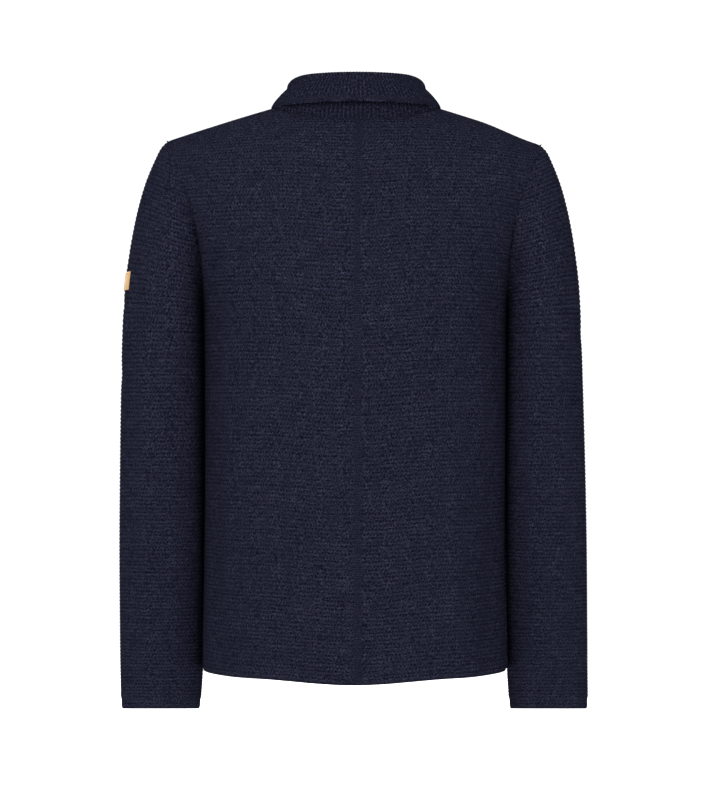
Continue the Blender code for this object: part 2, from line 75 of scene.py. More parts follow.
BODY_WIDTHS = [
    # (z, half width of the body's form), mm
    (-661, 180.5),
    (-560, 179.5),
    (-400, 178.5),
    (-260, 178.5),
    (-230, 179.0),
    (-190, 186.0),
    (-160, 194.5),
    (-130, 206.5),
    (-90, 225.0),
    (-60, 238.0),
    (-33.5, 247.0),
]
ARMHOLE_EDGES = [
    # (z, half width at the back armhole, half width at the front armhole), mm
    (-230, 179.0, 179.0),
    (-211, 179.2, 178.5),
    (-190, 179.8, 178.2),
    (-162, 181.8, 179.2),
    (-132, 186.4, 183.0),
    (-102, 194.0, 191.0),
    (-75, 205.0, 202.5),
    (-54, 213.5, 212.5),
    (-40, 218.0, 217.8),
    (-33.5, 219.0, 219.0),
]
BODY_DEPTHS = [
    # (z, depth at the centre back, depth at the centre front), mm
    (-661, 124, 119),
    (-540, 119, 117),
    (-420, 116, 118),
    (-300, 122, 122),
    (-200, 128, 125),
    (-120, 128, 125),
    (0, 125, 122),
]

# The knit
STITCH_WIDTH = 3.8 * MM
COURSE_HEIGHTS = [
    # (distance up the body's cloth, height of one course), mm
    (0, 4.3),
    (150, 4.5),
    (330, 4.8),
    (520, 4.6),
    (740, 4.4),
]
RIDGE_HEIGHT = 0.5 * MM
COURSE_WAVER = 0.07
WAVER = [
    # (waves across, waves up, start), in radians a metre and radians
    (61, 23, 1.0),
    (-37, 71, 2.4),
    (149, 43, 0.3),
    (-113, 157, 4.1),
]
# Share of the ridges that goes beside a seam, in a flat band, under the lap and on the upper body
SEAM_FLATTENING = 0.6
SEAM_FLATTENING_REACH = 4 * MM
BAND_FLATTENING = 0.75
TUCKED_FLATTENING = 0.8
UPPER_FLATTENING = 0.35
UPPER_FLATTENING_FROM_Z = -260 * MM
UPPER_FLATTENING_RISE = 160 * MM
# Flat knit lies a little lower than the ridges, and a sewn band higher
FLAT_SINK = 0.2 * MM
BAND_RISE = 0.3 * MM
BAND_EASE = 1.5 * MM
HEM_EASE = 2 * MM
LAP_BAND = 10 * MM
# Courses are level up to here, and follow the rounded shoulders above it
LEVEL_BELOW_Z = -120 * MM
LEVEL_EASE = 70 * MM
HEM_BAND = 12 * MM
EDGE_ROLL = 0.9 * MM
EDGE_ROLL_REACH = 1.7 * MM
TOP_SEAM_DIP = 0.6 * MM
SEAM_DIP_REACH = 1.6 * MM
CENTRE_SEAM_BAND = 8.2 * MM

# Where a sleeve rests against the body, both are a little fuller, which closes the gap between
# them. The seam between them dips in, and in the armhole's lower half the cloth folds in along it.
CONTACT = [
    # (z, fullness of the body's side, fullness of the underarm, seam's dip, armhole's fold), mm
    (-706, 1.3, 1.6, 1.0, 0.0),
    (-655, 1.4, 1.7, 1.0, 0.0),
    (-610, 1.2, 1.2, 1.0, 0.0),
    (-560, 1.0, 1.0, 1.0, 0.0),
    (-505, 0.85, 0.85, 1.0, 0.0),
    (-344, 0.7, 0.75, 1.0, 0.0),
    (-318, 0.7, 0.8, 1.0, 0.0),
    (-294, 0.8, 0.95, 1.0, 0.0),
    (-254, 1.3, 1.5, 1.2, 0.0),
    (-230, 1.2, 1.4, 1.2, 0.0),
    (-222, 0.9, 1.1, 1.1, 6.0),
    (-205, 0.4, 0.5, 1.0, 8.0),
    (-180, 0.1, 0.1, 0.8, 8.0),
    (-150, 0.0, 0.0, 0.8, 7.5),
    (-132, 0.0, 0.0, 0.8, 4.5),
    (-118, 0.0, 0.0, 0.7, 1.0),
    (-85, 0.0, 0.0, 0.5, 0.0),
    (-33, 0.0, 0.0, 0.3, 0.0),
]
CONTACT_REACH = 30 * MM
ARMHOLE_FOLD_REACH = 2.2 * MM
# Shares of the fold's depth: on the wearer's right, and on the body's side of the seam
RIGHT_FOLD_SHARE = 0.5
BODY_FOLD_SHARE = 0.85

# Edges of the cloth that turn by more than this are shaded sharp
SHARP_FROM = math.radians(75)

# Grid of each panel. Rows follow the courses up to LEVEL_COURSES, and then fan out to the top.
ROWS_A_COURSE = 5
PANEL_COURSES = 158
LEVEL_COURSES = 105
NECK_COLUMNS = 16
SHOULDER_COLUMNS = 26
# An extra column at this share of the way across keeps the seam's dip narrow
BY_THE_SEAM = 0.997
TRACE_POINTS = 240
COURSE_STEPS = 400
ACROSS_STEPS = 24
WELD_WITHIN = 0.001 * MM

# How the jacket hangs unevenly. A sleeve's outer side stands out more (+) or less, in mm.
SLEEVE_SWINGS = [
    # (z, left, right)
    (-704, 2.2, 3.5),
    (-640, 1.8, 1.5),
    (-560, 1.8, 0.3),
    (-450, 2.0, -0.8),
    (-267, 2.6, -2.4),
    (-100, 1.5, -1.0),
    (-30, 0.0, 0.0),
]
SWING_START_X = 185 * MM
SWING_REACH = 90 * MM
# The right shoulder is lower, and so is the sleeve's cap
RIGHT_SHOULDER_DROP = 4.5 * MM
SHOULDER_DROP_START_X = 145 * MM
SHOULDER_DROP_REACH = 65 * MM
SHOULDER_DROP_FROM_Z = -330 * MM
# The left side seam and the sleeve beside it lie nearer the middle than the right ones
SIDE_SHIFT = 2.4 * MM
SIDE_SHIFT_X = 181 * MM
SIDE_SHIFT_REACH = 24 * MM
SIDE_SHIFT_FROM_Z = -90 * MM
SIDE_SHIFT_RISE = 130 * MM
# The neck and the collar hang towards the right
COLLAR_SHIFT = 3.0 * MM
COLLAR_SHIFT_FROM_Z = -140 * MM
COLLAR_SHIFT_RISE = 160 * MM
COLLAR_SHIFT_WIDTH = 219 * MM

# Creases: soft troughs (-) and ridges (+) laid on the cloth, in mm and degrees
BACK_CREASES = [
    # (x, z, half length, half width, lean from upright, height)
    (40, -285, 95, 11, 2, -1.3),
    (62, -330, 120, 16, -3, 0.9),
    (11, -490, 60, 9, 0, 1.0),
    (-22, -465, 70, 9, 3, 1.1),
    (-44, -30, 26, 3.0, 2, -1.0),
    (-100, -75, 45, 38, 10, -2.4),
    (-118, -150, 60, 22, -14, 1.4),
    (-150, -520, 120, 26, 4, -3.4),
    (-120, -560, 90, 14, 6, 1.0),
    (-160, -580, 120, 20, 0, -5.4),
    (166, -430, 200, 12, 0, -4.2),
    (-167, -430, 170, 10, 0, -2.2),
    (158, -590, 100, 18, 0, -4.2),
    (150, -250, 70, 14, 12, -2.0),
    (-152, -245, 80, 13, -12, -2.2),
    (132, -560, 90, 18, -5, -1.4),
    (78, -610, 45, 12, 8, -0.9),
    (-60, -620, 40, 12, -6, -0.8),
]
FRONT_CREASES = [
    # (x, z, half length, half width, lean from upright, height)
    (120, -150, 60, 16, -20, -2.2),
    (-124, -160, 55, 15, 18, -2.0),
    (95, -330, 110, 18, 4, -1.6),
    (-88, -360, 120, 16, -3, -1.4),
    (140, -520, 100, 20, 5, -2.4),
    (-146, -500, 110, 22, -4, -2.6),
    (60, -420, 70, 12, -6, 1.0),
    (-52, -250, 60, 11, 5, 0.9),
    (30, -590, 40, 12, 8, -0.9),
]


def smooth(at, xs, ys):
    """A curve through the table's points that never overshoots them."""
    xs, ys = np.array(xs, float), np.array(ys, float)
    steps = np.diff(xs)
    slopes = np.diff(ys) / steps
    tangents = np.zeros(len(xs))
    rising = slopes[:-1] * slopes[1:] > 0
    both = np.where(rising, slopes[:-1] + slopes[1:], 1)
    tangents[1:-1] = np.where(rising, 2 * slopes[:-1] * slopes[1:] / both, 0)
    tangents[0], tangents[-1] = slopes[0], slopes[-1]
    at = np.clip(at, xs[0], xs[-1])
    i = np.clip(np.searchsorted(xs, at, side="right") - 1, 0, len(steps) - 1)
    t = (at - xs[i]) / steps[i]
    start = (1 + 2 * t) * (1 - t) ** 2 * ys[i] + t * (1 - t) ** 2 * steps[i] * tangents[i]
    end = t**2 * (3 - 2 * t) * ys[i + 1] + t**2 * (t - 1) * steps[i] * tangents[i + 1]
    return start + end


def table(rows, column, at):
    """A column of a table in mm, read at a height or turn in the same units as its first one."""
    return smooth(at, [row[0] for row in rows], [row[column] for row in rows])


def unit(vectors):
    return vectors / np.linalg.norm(vectors, axis=-1, keepdims=True)


def ease(share):
    """0 to 1 with a soft start and end."""
    share = np.clip(share, 0, 1)
    return share * share * (3 - 2 * share)


def near(distance, reach):
    """1 at an edge, fading to 0 a little way from it."""
    return np.exp(-((distance / reach) ** 2))


def shoulder_line(x):
    """Height of the shoulder's top edge, sloping down from the neck point to the shoulder tip."""
    neck, tip, here = (
        np.hypot(reach, SHOULDER_SOFTNESS) for reach in (NECK_HALF_WIDTH, SHOULDER_TIP_X, x)
    )
    return NECK_POINT_Z + (SHOULDER_TIP_Z - NECK_POINT_Z) * (here - neck) / (tip - neck)


def form_width(z):
    return table(BODY_WIDTHS, 1, z / MM) * MM


def full_depth(x, z, face):
    """Depth of the form below its rounded shoulders."""
    deepest = table(BODY_DEPTHS, {"back": 1, "front": 2}[face], z / MM) * MM
    across = np.clip(np.abs(x) / form_width(z), 0, 1)
    return deepest * (1 - across**BODY_SQUARENESS) ** (1 / BODY_SQUARENESS)


def form_depth(x, z, face):
    """How far the body's form stands behind (back) or before (front) the plane of its seams."""
    rise = (z - SHOULDER_ROUND_Z) / (shoulder_line(x) - SHOULDER_ROUND_Z)
    rise = np.clip(rise, 0, 1)
    round_top = (1 - rise**SHOULDER_SQUARENESS) ** (1 / SHOULDER_SQUARENESS)
    return full_depth(x, z, face) * round_top


def edge_angle(z, face):
    """Angle across the form at which a panel ends: the side seam, or the armhole above it."""
    edge = table(ARMHOLE_EDGES, {"back": 1, "front": 2}[face], z / MM) * MM
    return np.where(z <= UNDERARM_Z, math.pi / 2, np.arcsin(np.clip(edge / form_width(z), 0, 1)))


def neck_line(x, face):
    """Height of the neck edge."""
    share = np.clip(np.abs(x) / NECK_HALF_WIDTH, 0, 1)
    if face == "back":
        return NECK_POINT_Z - NECK_DROP[face] * (1 - share**BACK_NECK_POWER)
    return NECK_POINT_Z - NECK_DROP[face] * np.sqrt(1 - share**2)


def tuck_under(x):
    """How far the right front runs inside the form where it lies under the left one."""
    return (CLOTH + OVERLAP_CLEARANCE) * ease((OVERLAP + OVERLAP_EASE - x) / OVERLAP_EASE)


def as_hung(points):
    """Moves points a little from the even form to how the jacket really hangs."""
    hung = np.array(points, float)
    x, z = hung[..., 0].copy(), hung[..., 2].copy()
    outside = ease((np.abs(x) - SWING_START_X) / SWING_REACH)
    left, right = (table(SLEEVE_SWINGS, column, z / MM) * MM for column in (1, 2))
    hung[..., 0] += outside * np.where(x > 0, left, -right)
    low = ease((SIDE_SHIFT_FROM_Z - z) / SIDE_SHIFT_RISE)
    hung[..., 0] -= SIDE_SHIFT * low * near(x - SIDE_SHIFT_X, SIDE_SHIFT_REACH)
    near_neck = 1 - ease(np.abs(x) / COLLAR_SHIFT_WIDTH) ** 2
    hung[..., 0] -= COLLAR_SHIFT * near_neck * ease((z - COLLAR_SHIFT_FROM_Z) / COLLAR_SHIFT_RISE)
    out_right = ease((-x - SHOULDER_DROP_START_X) / SHOULDER_DROP_REACH)
    up = ease((z - SHOULDER_DROP_FROM_Z) / (SHOULDER_TIP_Z - SHOULDER_DROP_FROM_Z))
    hung[..., 2] -= RIGHT_SHOULDER_DROP * out_right * up
    return hung


def travelled(line):
    """Distance of each point of a line from its first one."""
    steps = np.linalg.norm(np.diff(line, axis=0), axis=1)
    return np.concatenate([[0], np.cumsum(steps)])


def read_line(line, places, at):
    """A line's columns at some places, where places holds the place of each of its points."""
    return np.stack([np.interp(at, places, column) for column in line.T], axis=1)


def along_rows(points):
    """Distance of each point from the first one of its row."""
    steps = np.linalg.norm(np.diff(points, axis=1), axis=2)
    return np.concatenate([np.zeros((len(points), 1)), np.cumsum(steps, axis=1)], axis=1)


def count_courses(distance, heights):
    """Number of courses below a distance up the cloth."""
    steps = np.linspace(0, heights[-1][0], COURSE_STEPS)
    courses = np.concatenate([[0], np.cumsum(np.diff(steps) / table(heights, 1, steps[1:]))])
    return np.interp(distance / MM, steps, courses)


def across_form(x, z, face):
    """Distance around the form from its centre, along a level line."""
    stops = x[..., None] * np.linspace(0, 1, ACROSS_STEPS + 1)
    depths = full_depth(stops, z[..., None], face)
    return np.sign(x) * np.hypot(np.diff(stops), np.diff(depths)).sum(axis=-1)


def panel_grid(face, extra_x):
    """A left panel's points on the form, rows from the hem up and columns from the centre out.

    With them come each point's distance up the cloth and its number of courses above the hem.
    """
    widest = edge_angle(SHOULDER_TIP_Z, face)
    shoulder_width = form_width(SHOULDER_TIP_Z)
    even = np.linspace(0, 1, NECK_COLUMNS + 1)
    neck_x = NECK_HALF_WIDTH * (even + np.sin(even * math.pi / 2)) / 2
    neck_shares = np.arcsin(neck_x / shoulder_width) / widest
    beyond = np.linspace(neck_shares[-1], 1, SHOULDER_COLUMNS + 1)[1:-1]
    shares = np.concatenate([neck_shares, beyond, [BY_THE_SEAM, 1]])
    starts = [(x, None) for x in extra_x]
    starts += [(shoulder_width * math.sin(share * widest), share) for share in shares]
    trace = 1 - (1 - np.linspace(0, 1, TRACE_POINTS)) ** 2
    level = np.arange(0, LEVEL_COURSES, 1 / ROWS_A_COURSE)
    fan = np.linspace(0, 1, ROWS_A_COURSE * (PANEL_COURSES - LEVEL_COURSES) + 1)
    columns = []
    for i, (top_x, share) in enumerate(starts):
        by_neck = i <= len(extra_x) + NECK_COLUMNS
        top = neck_line(top_x, face) if by_neck else shoulder_line(top_x)
        hem = HEM_Z + HEM_RISE * ease(abs(top_x) / HEM_RISE_REACH)
        z = hem + (top - hem) * trace
        if share is None:
            x = np.full_like(z, top_x)
        else:
            x = form_width(z) * np.sin(share * edge_angle(z, face))
        line = np.stack([x, form_depth(x, z, face), z], axis=1)
        up = travelled(line)
        deep = np.diff(line[:, 1]) * ease((z[1:] - LEVEL_BELOW_Z) / LEVEL_EASE)
        run = np.concatenate([[0], np.cumsum(np.hypot(np.diff(z), deep))])
        courses = count_courses(run, COURSE_HEIGHTS)
        rows = np.concatenate([level, LEVEL_COURSES + (courses[-1] - LEVEL_COURSES) * fan])
        columns.append(read_line(np.column_stack([line, up, courses]), courses, rows))
    grid = np.stack(columns, axis=1)
    return grid[..., :3], grid[..., 3], grid[..., 4]


def grid_normals(points):
    """Unit normals of a grid of points, from its neighbours in both directions."""
    return unit(np.cross(np.gradient(points, axis=1), np.gradient(points, axis=0)))


def seam_normals(line):
    """Normals along a side or shoulder seam, which lies in the plane of the seams."""
    along = np.gradient(line, axis=0)
    turned = np.stack([along[:, 2], 0 * along[:, 1], -along[:, 0]], axis=1)
    return unit(turned * np.sign(turned.sum(axis=1, keepdims=True)))


def waver(across, up):
    """A slow unevenness between -1 and 1, as hand and machine tension leave in a knit."""
    waves = [np.sin(across * sideways + up * upwards + start) for sideways, upwards, start in WAVER]
    return sum(waves) / len(waves)


def off_seams(level, *distances):
    """The strength of the ridges, weaker near the seams."""
    for distance in distances:
        level = level * (1 - SEAM_FLATTENING * near(distance, SEAM_FLATTENING_REACH))
    return level


def ridges(courses):
    """Relief of the knit: a round ridge on each course and a trough between two."""
    return RIDGE_HEIGHT / 2 * np.cos(2 * math.pi * courses)


def creases(across, up, rows):
    """Relief of the listed creases."""
    relief = np.zeros(across.shape)
    for crease_across, crease_up, half_length, half_width, lean, height in rows:
        turn = math.radians(lean)
        right, higher = across / MM - crease_across, up / MM - crease_up
        along = higher * math.cos(turn) + right * math.sin(turn)
        beside = right * math.cos(turn) - higher * math.sin(turn)
        relief += height * MM * near(along, half_length) * near(beside, half_width)
    return relief


def make_panel(face, side, extra_x=(), tuck=None):
    """A panel's outer and inner points and its marks, which count stitches and courses.

    For the sleeve and collar it also gives the form's points and normals along its edges.
    """
    points, up, courses = panel_grid(face, extra_x)
    normals = grid_normals(points)
    first = len(extra_x)
    normals *= np.sign(normals[0, first, 1])
    if face == "back":
        normals[:, 0, 0] = 0
        normals = unit(normals)
    side_rows = points[:, -1, 2] <= UNDERARM_Z
    normals[side_rows, -1] = seam_normals(points[side_rows, -1])
    normals[-1, first + NECK_COLUMNS :] = seam_normals(points[-1, first + NECK_COLUMNS :])
    across = across_form(points[..., 0], points[..., 2], face)
    to_lap = along_rows(points)
    to_side = to_lap[:, -1:] - to_lap
    to_top = up[-1:] - up

    bent = courses + COURSE_WAVER * waver(across * side, up)
    level = off_seams(ease((up - HEM_BAND) / HEM_EASE), to_side, to_top)
    upper = ease((points[..., 2] - UPPER_FLATTENING_FROM_Z) / UPPER_FLATTENING_RISE)
    level = level * (1 - UPPER_FLATTENING * upper)
    roll = EDGE_ROLL * near(up, EDGE_ROLL_REACH)
    if face == "front":
        in_band = ease((LAP_BAND - to_lap) / BAND_EASE)
        relief = BAND_RISE * in_band
        roll += EDGE_ROLL * near(to_lap, EDGE_ROLL_REACH)
    else:
        in_band = ease((CENTRE_SEAM_BAND - across) / BAND_EASE) if side < 0 else 0 * across
        relief = BAND_RISE * in_band - TOP_SEAM_DIP * near(across, SEAM_DIP_REACH)
    tucked = 0 if tuck is None else tuck(points[..., 0])
    level = level * (1 - BAND_FLATTENING * in_band)
    level = level * (1 - TUCKED_FLATTENING * tucked / (CLOTH + OVERLAP_CLEARANCE))
    relief += level * ridges(bent) - (1 - level) * FLAT_SINK
    z = points[..., 2] / MM
    fullness, dip, deep = (table(CONTACT, column, z) * MM for column in (1, 3, 4))
    relief += fullness * near(to_side, CONTACT_REACH) - dip * near(to_side, SEAM_DIP_REACH)
    relief -= TOP_SEAM_DIP * near(to_top, SEAM_DIP_REACH)
    facing = np.array([side, 1 if face == "back" else -1, 1])
    seen = points * facing
    fold = creases(seen[..., 0], seen[..., 2], BACK_CREASES if face == "back" else FRONT_CREASES)
    fold = fold - tucked
    sunk = BODY_FOLD_SHARE * deep * (1 if side > 0 else RIGHT_FOLD_SHARE)
    sunk = sunk * near(to_side, ARMHOLE_FOLD_REACH)
    outer = points + normals * (fold + relief - roll)[..., None]
    inner = points + normals * (fold + roll - CLOTH)[..., None]
    for wall in (outer, inner):
        wall[..., 1] = np.maximum(wall[..., 1] - sunk, SEAM_GAP / 2)
        if face == "back":
            wall[..., 0] = np.maximum(wall[..., 0], 0)
            wall[:, 0, 0] = -BACK_SEAM_LAP / 2
    edges = np.concatenate([points - normals * np.array(tucked)[..., None], normals], axis=2)
    edges *= np.tile(facing, 2)
    return {
        "outer": outer * facing,
        "inner": inner * facing,
        "marks": np.stack([across / STITCH_WIDTH, bent], axis=-1),
        "armhole": edges[points[:, -1, 2] >= UNDERARM_Z - MM, -1],
        "neck": edges[-1, : first + NECK_COLUMNS + 1],
    }


def quads(at):
    """The four-sided faces between the rows and columns of a grid of point numbers."""
    corners = np.stack([at[:-1, :-1], at[:-1, 1:], at[1:, 1:], at[1:, :-1]], axis=-1)
    return corners.reshape(-1, 4).tolist()


def add_shell(name, outer, inner, marks, finishes, split=0, banded=0):
    """A cloth wall as one closed mesh. Its plain inside keeps one row for each course.

    Below the course split, the wall is a tube whose first and last columns are the same. The second
    finish goes on the first banded columns.
    """
    rows, columns = outer.shape[:2]
    inside = inner[::ROWS_A_COURSE]
    start = rows * columns
    outside_at = np.arange(start).reshape(rows, columns)
    inside_at = start + np.arange(inside.shape[0] * columns).reshape(-1, columns)
    faces = quads(outside_at) + quads(inside_at)
    for end in (0, -1):
        rim = [outside_at[end, :-1], outside_at[end, 1:], inside_at[end, 1:], inside_at[end, :-1]]
        faces += np.stack(rim, axis=-1).tolist()
    for edge in (0, -1):
        for course in range(split, inside.shape[0] - 1):
            ridge = outside_at[course * ROWS_A_COURSE : (course + 1) * ROWS_A_COURSE + 1, edge]
            faces.append([*ridge.tolist(), *inside_at[[course + 1, course], edge].tolist()])
    points = as_hung(np.concatenate([outer.reshape(-1, 3), inside.reshape(-1, 3)]))
    places = np.concatenate([marks.reshape(-1, 2), marks[::ROWS_A_COURSE].reshape(-1, 2)])
    used = np.zeros(len(faces), int)
    used[: (rows - 1) * (columns - 1)].reshape(rows - 1, columns - 1)[:, :banded] = 1
    return add_cloth(name, points, faces, places, *finishes, used=used.tolist())


def add_cloth(name, points, faces, places, *finishes, used=None):
    """A cloth piece from its points and faces. places counts stitches and courses at each point.

    With more than one finish, used has the number of each face's.
    """
    mesh = bpy.data.meshes.new(name)
    mesh.from_pydata(points.tolist(), [], faces)
    if used is not None:
        mesh.polygons.foreach_set("material_index", used)
    corners = np.zeros(len(mesh.loops), dtype=np.int32)
    mesh.loops.foreach_get("vertex_index", corners)
    stitch_map = mesh.uv_layers.new(name="knit").uv
    stitch_map.foreach_set("vector", places[corners].ravel().astype(np.float32))
    shape = bmesh.new()
    shape.from_mesh(mesh)
    bmesh.ops.remove_doubles(shape, verts=shape.verts, dist=WELD_WITHIN)
    bmesh.ops.recalc_face_normals(shape, faces=shape.faces)
    shape.to_mesh(mesh)
    shape.free()
    mesh.shade_smooth()
    mesh.set_sharp_from_angle(angle=SHARP_FROM)
    for finish in finishes:
        mesh.materials.append(finish)
    piece = bpy.data.objects.new(name, mesh)
    bpy.context.scene.collection.objects.link(piece)
    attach(piece, "root")
    return piece


class Shade:
    """A socket of a material. Sums and products of sockets and numbers add its Math nodes."""

    def __init__(self, nodes, socket):
        self.nodes = nodes
        self.socket = socket

    def maths(self, operation, *others, **settings):
        node = self.nodes.add("ShaderNodeMath", {"operation": operation, **settings}, {0: self})
        for place, other in enumerate(others, start=1):
            self.nodes.put(node, place, other)
        return Shade(self.nodes, node.outputs[0])

    def __add__(self, other):
        return self.maths("ADD", other)

    def __sub__(self, other):
        return self.maths("SUBTRACT", other)

    def __rsub__(self, other):
        return (self * -1) + other

    def __mul__(self, other):
        return self.maths("MULTIPLY", other)

    def __pow__(self, other):
        return self.maths("POWER", other)

    __radd__ = __add__
    __rmul__ = __mul__

    def wave(self):
        """Cosine of a full turn for each unit."""
        return (self * (2 * math.pi)).maths("COSINE")

    def held(self):
        """The value kept between 0 and 1."""
        return self.maths("ADD", 0.0, use_clamp=True)


class Finish:
    """A material whose nodes are added one at a time around a Principled shader."""

    def __init__(self, name, preview, **constants):
        self.material = bpy.data.materials.new(name)
        self.material.use_nodes = True
        self.material.diffuse_color = (*preview, 1.0)
        self.tree = self.material.node_tree
        self.shader = self.tree.nodes["Principled BSDF"]
        for socket, value in constants.items():
            self.shader.inputs[socket.replace("_", " ")].default_value = value

    def put(self, node, socket, value):
        if isinstance(value, Shade):
            self.tree.links.new(value.socket, node.inputs[socket])
        else:
            node.inputs[socket].default_value = value

    def add(self, kind, settings=None, inputs=None):
        node = self.tree.nodes.new(kind)
        for setting, value in (settings or {}).items():
            setattr(node, setting, value)
        for socket, value in (inputs or {}).items():
            self.put(node, socket, value)
        return node

    def take(self, node, output=0):
        return Shade(self, node.outputs[output])

    def solid(self):
        """The place in the jacket, in metres."""
        return self.take(self.add("ShaderNodeTexCoord"), "Object")

    def counts(self):
        """The counts of stitches and of courses, from the piece's map."""
        place = self.take(self.add("ShaderNodeUVMap", {"uv_map": "knit"}))
        return self.split(place)[:2]

    def split(self, vector):
        parts = self.add("ShaderNodeSeparateXYZ", {}, {0: vector})
        return [self.take(parts, number) for number in range(3)]

    def noise(self, vector, scale, detail=2.0, roughness=0.5):
        inputs = {"Vector": vector, "Scale": scale, "Detail": detail, "Roughness": roughness}
        return self.take(self.add("ShaderNodeTexNoise", {"noise_dimensions": "3D"}, inputs), "Fac")

    def vector(self, x, y, z):
        return self.take(self.add("ShaderNodeCombineXYZ", {}, {0: x, 1: y, 2: z}))

    def mix(self, share, first, second):
        node = self.add("ShaderNodeMix", {"data_type": "RGBA"}, {0: share, 6: first, 7: second})
        return self.take(node, 2)

    def colour(self, value):
        self.put(self.shader, "Base Color", value)

    def bump(self, height, distance, strength=1.0):
        node = self.add("ShaderNodeBump", {}, {"Strength": strength, "Distance": distance})
        self.put(node, "Height", height)
        self.put(self.shader, "Normal", self.take(node, "Normal"))


NAVY = (0.0078, 0.0085, 0.0165)
# The darkest navy: for dark strands and patches, and as painted shade in gaps, furrows, plies and
# slits
NAVY_DARK_AND_SHADE = (0.0012, 0.0014, 0.0040)
NAVY_PALE = (0.0365, 0.0385, 0.0640)
BROWN_FLECK = (0.0290, 0.0200, 0.0190)
# How many spots of uneven tension, cloudy patches and flecks there are in a metre
TENSION_SPOTS = 190
PATCH_SPOTS = 60
FLECK_SPOTS = 420


def brown_flecks(wool, solid):
    """Where the few brown fibres of heathered wool show, from 0 to 1."""
    return ((wool.noise(solid, FLECK_SPOTS) - 0.66) * 9).held()


def knit_finish(name, finer=1.0):
    """Heathered wool: purl loops on the courses, loose fibre, and flecks of paler and brown yarn.

    Its stitches are finer times as small as the ridges' own. Shade is painted darker into its gaps
    and troughs.
    """
    wool = Finish(name, NAVY, Roughness=0.95, Specular_IOR_Level=0.0)
    stitch, course = (count * finer for count in wool.counts())
    solid = wool.solid()
    x = wool.split(solid)[0]
    tension = wool.noise(solid, TENSION_SPOTS)
    patches = wool.noise(solid, PATCH_SPOTS, 3.0, 0.65)

    # Purl loops: each course snakes between its neighbours, with a gap beside every other loop
    loop = (stitch + (tension - 0.5) * 0.9).wave()
    brick = loop * (course * 0.5 - 0.25).wave()
    snake = course + loop * 0.16 + brick * 0.1 + (tension - 0.5) * 0.4
    trough = 0.5 - 0.5 * snake.wave()
    gap = trough * (0.5 + 0.5 * brick)
    strand = wool.noise(wool.vector(stitch * 2.3, snake * 3.4, x * 40), 1.0, 3.0, 0.8)
    ply = (stitch * 3.0 + snake * 1.5 + strand * 1.5).wave()
    height = 1.0 - gap * 1.0 - trough * 0.2 + strand * 1.4 + ply * 0.12
    wool.bump(height, 1.0 * MM, 1.0)

    # Colour: painted shade in the gaps and troughs, paler and darker strands, brown flecks and slow
    # cloudy patches
    # Painted shade: mixed towards the darkest navy in the gaps between loops and the troughs
    # between courses
    ground = wool.mix((gap * 1.15 + trough * 0.14).held(), (*NAVY, 1), (*NAVY_DARK_AND_SHADE, 1))
    # The paler strands are dimmed in the troughs, also as painted shade
    pale = ((strand - 0.5) * 6.5).held() * (1.0 - trough * 0.38)
    ground = wool.mix(pale, ground, (*NAVY_PALE, 1))
    dark = ((0.47 - strand) * 7.0).held()
    ground = wool.mix(dark * 0.9, ground, (*NAVY_DARK_AND_SHADE, 1))
    ground = wool.mix(brown_flecks(wool, solid) * 0.6, ground, (*BROWN_FLECK, 1))
    shaded = wool.mix(0.42, ground, (*NAVY_DARK_AND_SHADE, 1))
    wool.colour(wool.mix(((patches - 0.3) * 1.6).held(), ground, shaded))
    return wool.material


knit = knit_finish("navy knit")
seam_knit = knit_finish("navy seam band", 1.7)
panels = {
    "back_left": make_panel("back", 1),
    "back_right": make_panel("back", -1),
    "front_left": make_panel("front", 1, extra_x=(-OVERLAP, -OVERLAP / 2)),
    "front_right": make_panel("front", -1, extra_x=(-OVERLAP, -OVERLAP / 2), tuck=tuck_under),
}
for name, panel in panels.items():
    # The flat band beside the centre-back seam is the right back's first column
    banded = 1 if name == "back_right" else 0
    finishes = [knit, seam_knit] if banded else [knit]
    walls = panel["outer"], panel["inner"], panel["marks"]
    cloth = add_shell(f"{name}_cloth", *walls, finishes, banded=banded)
    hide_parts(name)


# --- Sleeves ---
# Each sleeve is one piece, knitted from the cuff up, sewn together along the underarm and set into
# the armhole. Its courses lie square to its outer line, so they tilt in the cap.

# Each ring of the form runs from its inner point, nearest the body, to its outer point, in mm
SLEEVE_RINGS = [
    # (outer x, outer z, inner x, inner z, centre y, half depth, armhole's share, rise to the back)
    (219.0, -33.5, 179.0, -230, 0, 72, 1.0, 0),
    (226.5, -41, 181.4, -230, -1, 73, 0.75, 0),
    (234.5, -57, 181.3, -237, -2, 74, 0.48, 0),
    (244.5, -82, 180.8, -254, -4, 75, 0.27, 0),
    (254.5, -118, 180.4, -272, -7, 76, 0.12, 0),
    (262.5, -160, 180.0, -294, -10, 76, 0.03, 0),
    (268.3, -205, 179.6, -318, -12, 75, 0.0, 0),
    (271.3, -255, 179.4, -344, -14, 74, 0.0, 0),
    (273.0, -310, 179.4, -374, -15, 71, 0.0, 0),
    (274.4, -375, 179.4, -410, -16, 68, 0.0, 0),
    (275.4, -445, 179.8, -450, -16, 64, 0.0, 0),
    (276.0, -505, 180.3, -505, -16, 59, 0.0, 0),
    (276.2, -560, 180.9, -560, -18, 54, 0.0, 0),
    (276.2, -610, 181.8, -610, -21, 49, 0.0, 0.02),
    (276.0, -655, 183.2, -655, -24, 44, 0.0, 0.06),
    (275.6, -691, 185.4, -691, -27, 40, 0.0, 0.11),
    (275.2, -706.5, 186.4, -706.5, -28, 38, 0.0, 0.13),
]
SLEEVE_SQUARENESS = 2.15
ARMHOLE_CENTRE = np.array([230, 0, -140]) * MM
# The sleeve's cap laps the armhole's edge by this much, as a sewn seam does
SLEEVE_SEAM_LAP = 0.12 * MM
CUFF_Z = SLEEVE_RINGS[-1][1]
CUFF_BAND = 12 * MM
CUFF_EASE = 2 * MM
CUFF_TUCK = 0.6 * MM

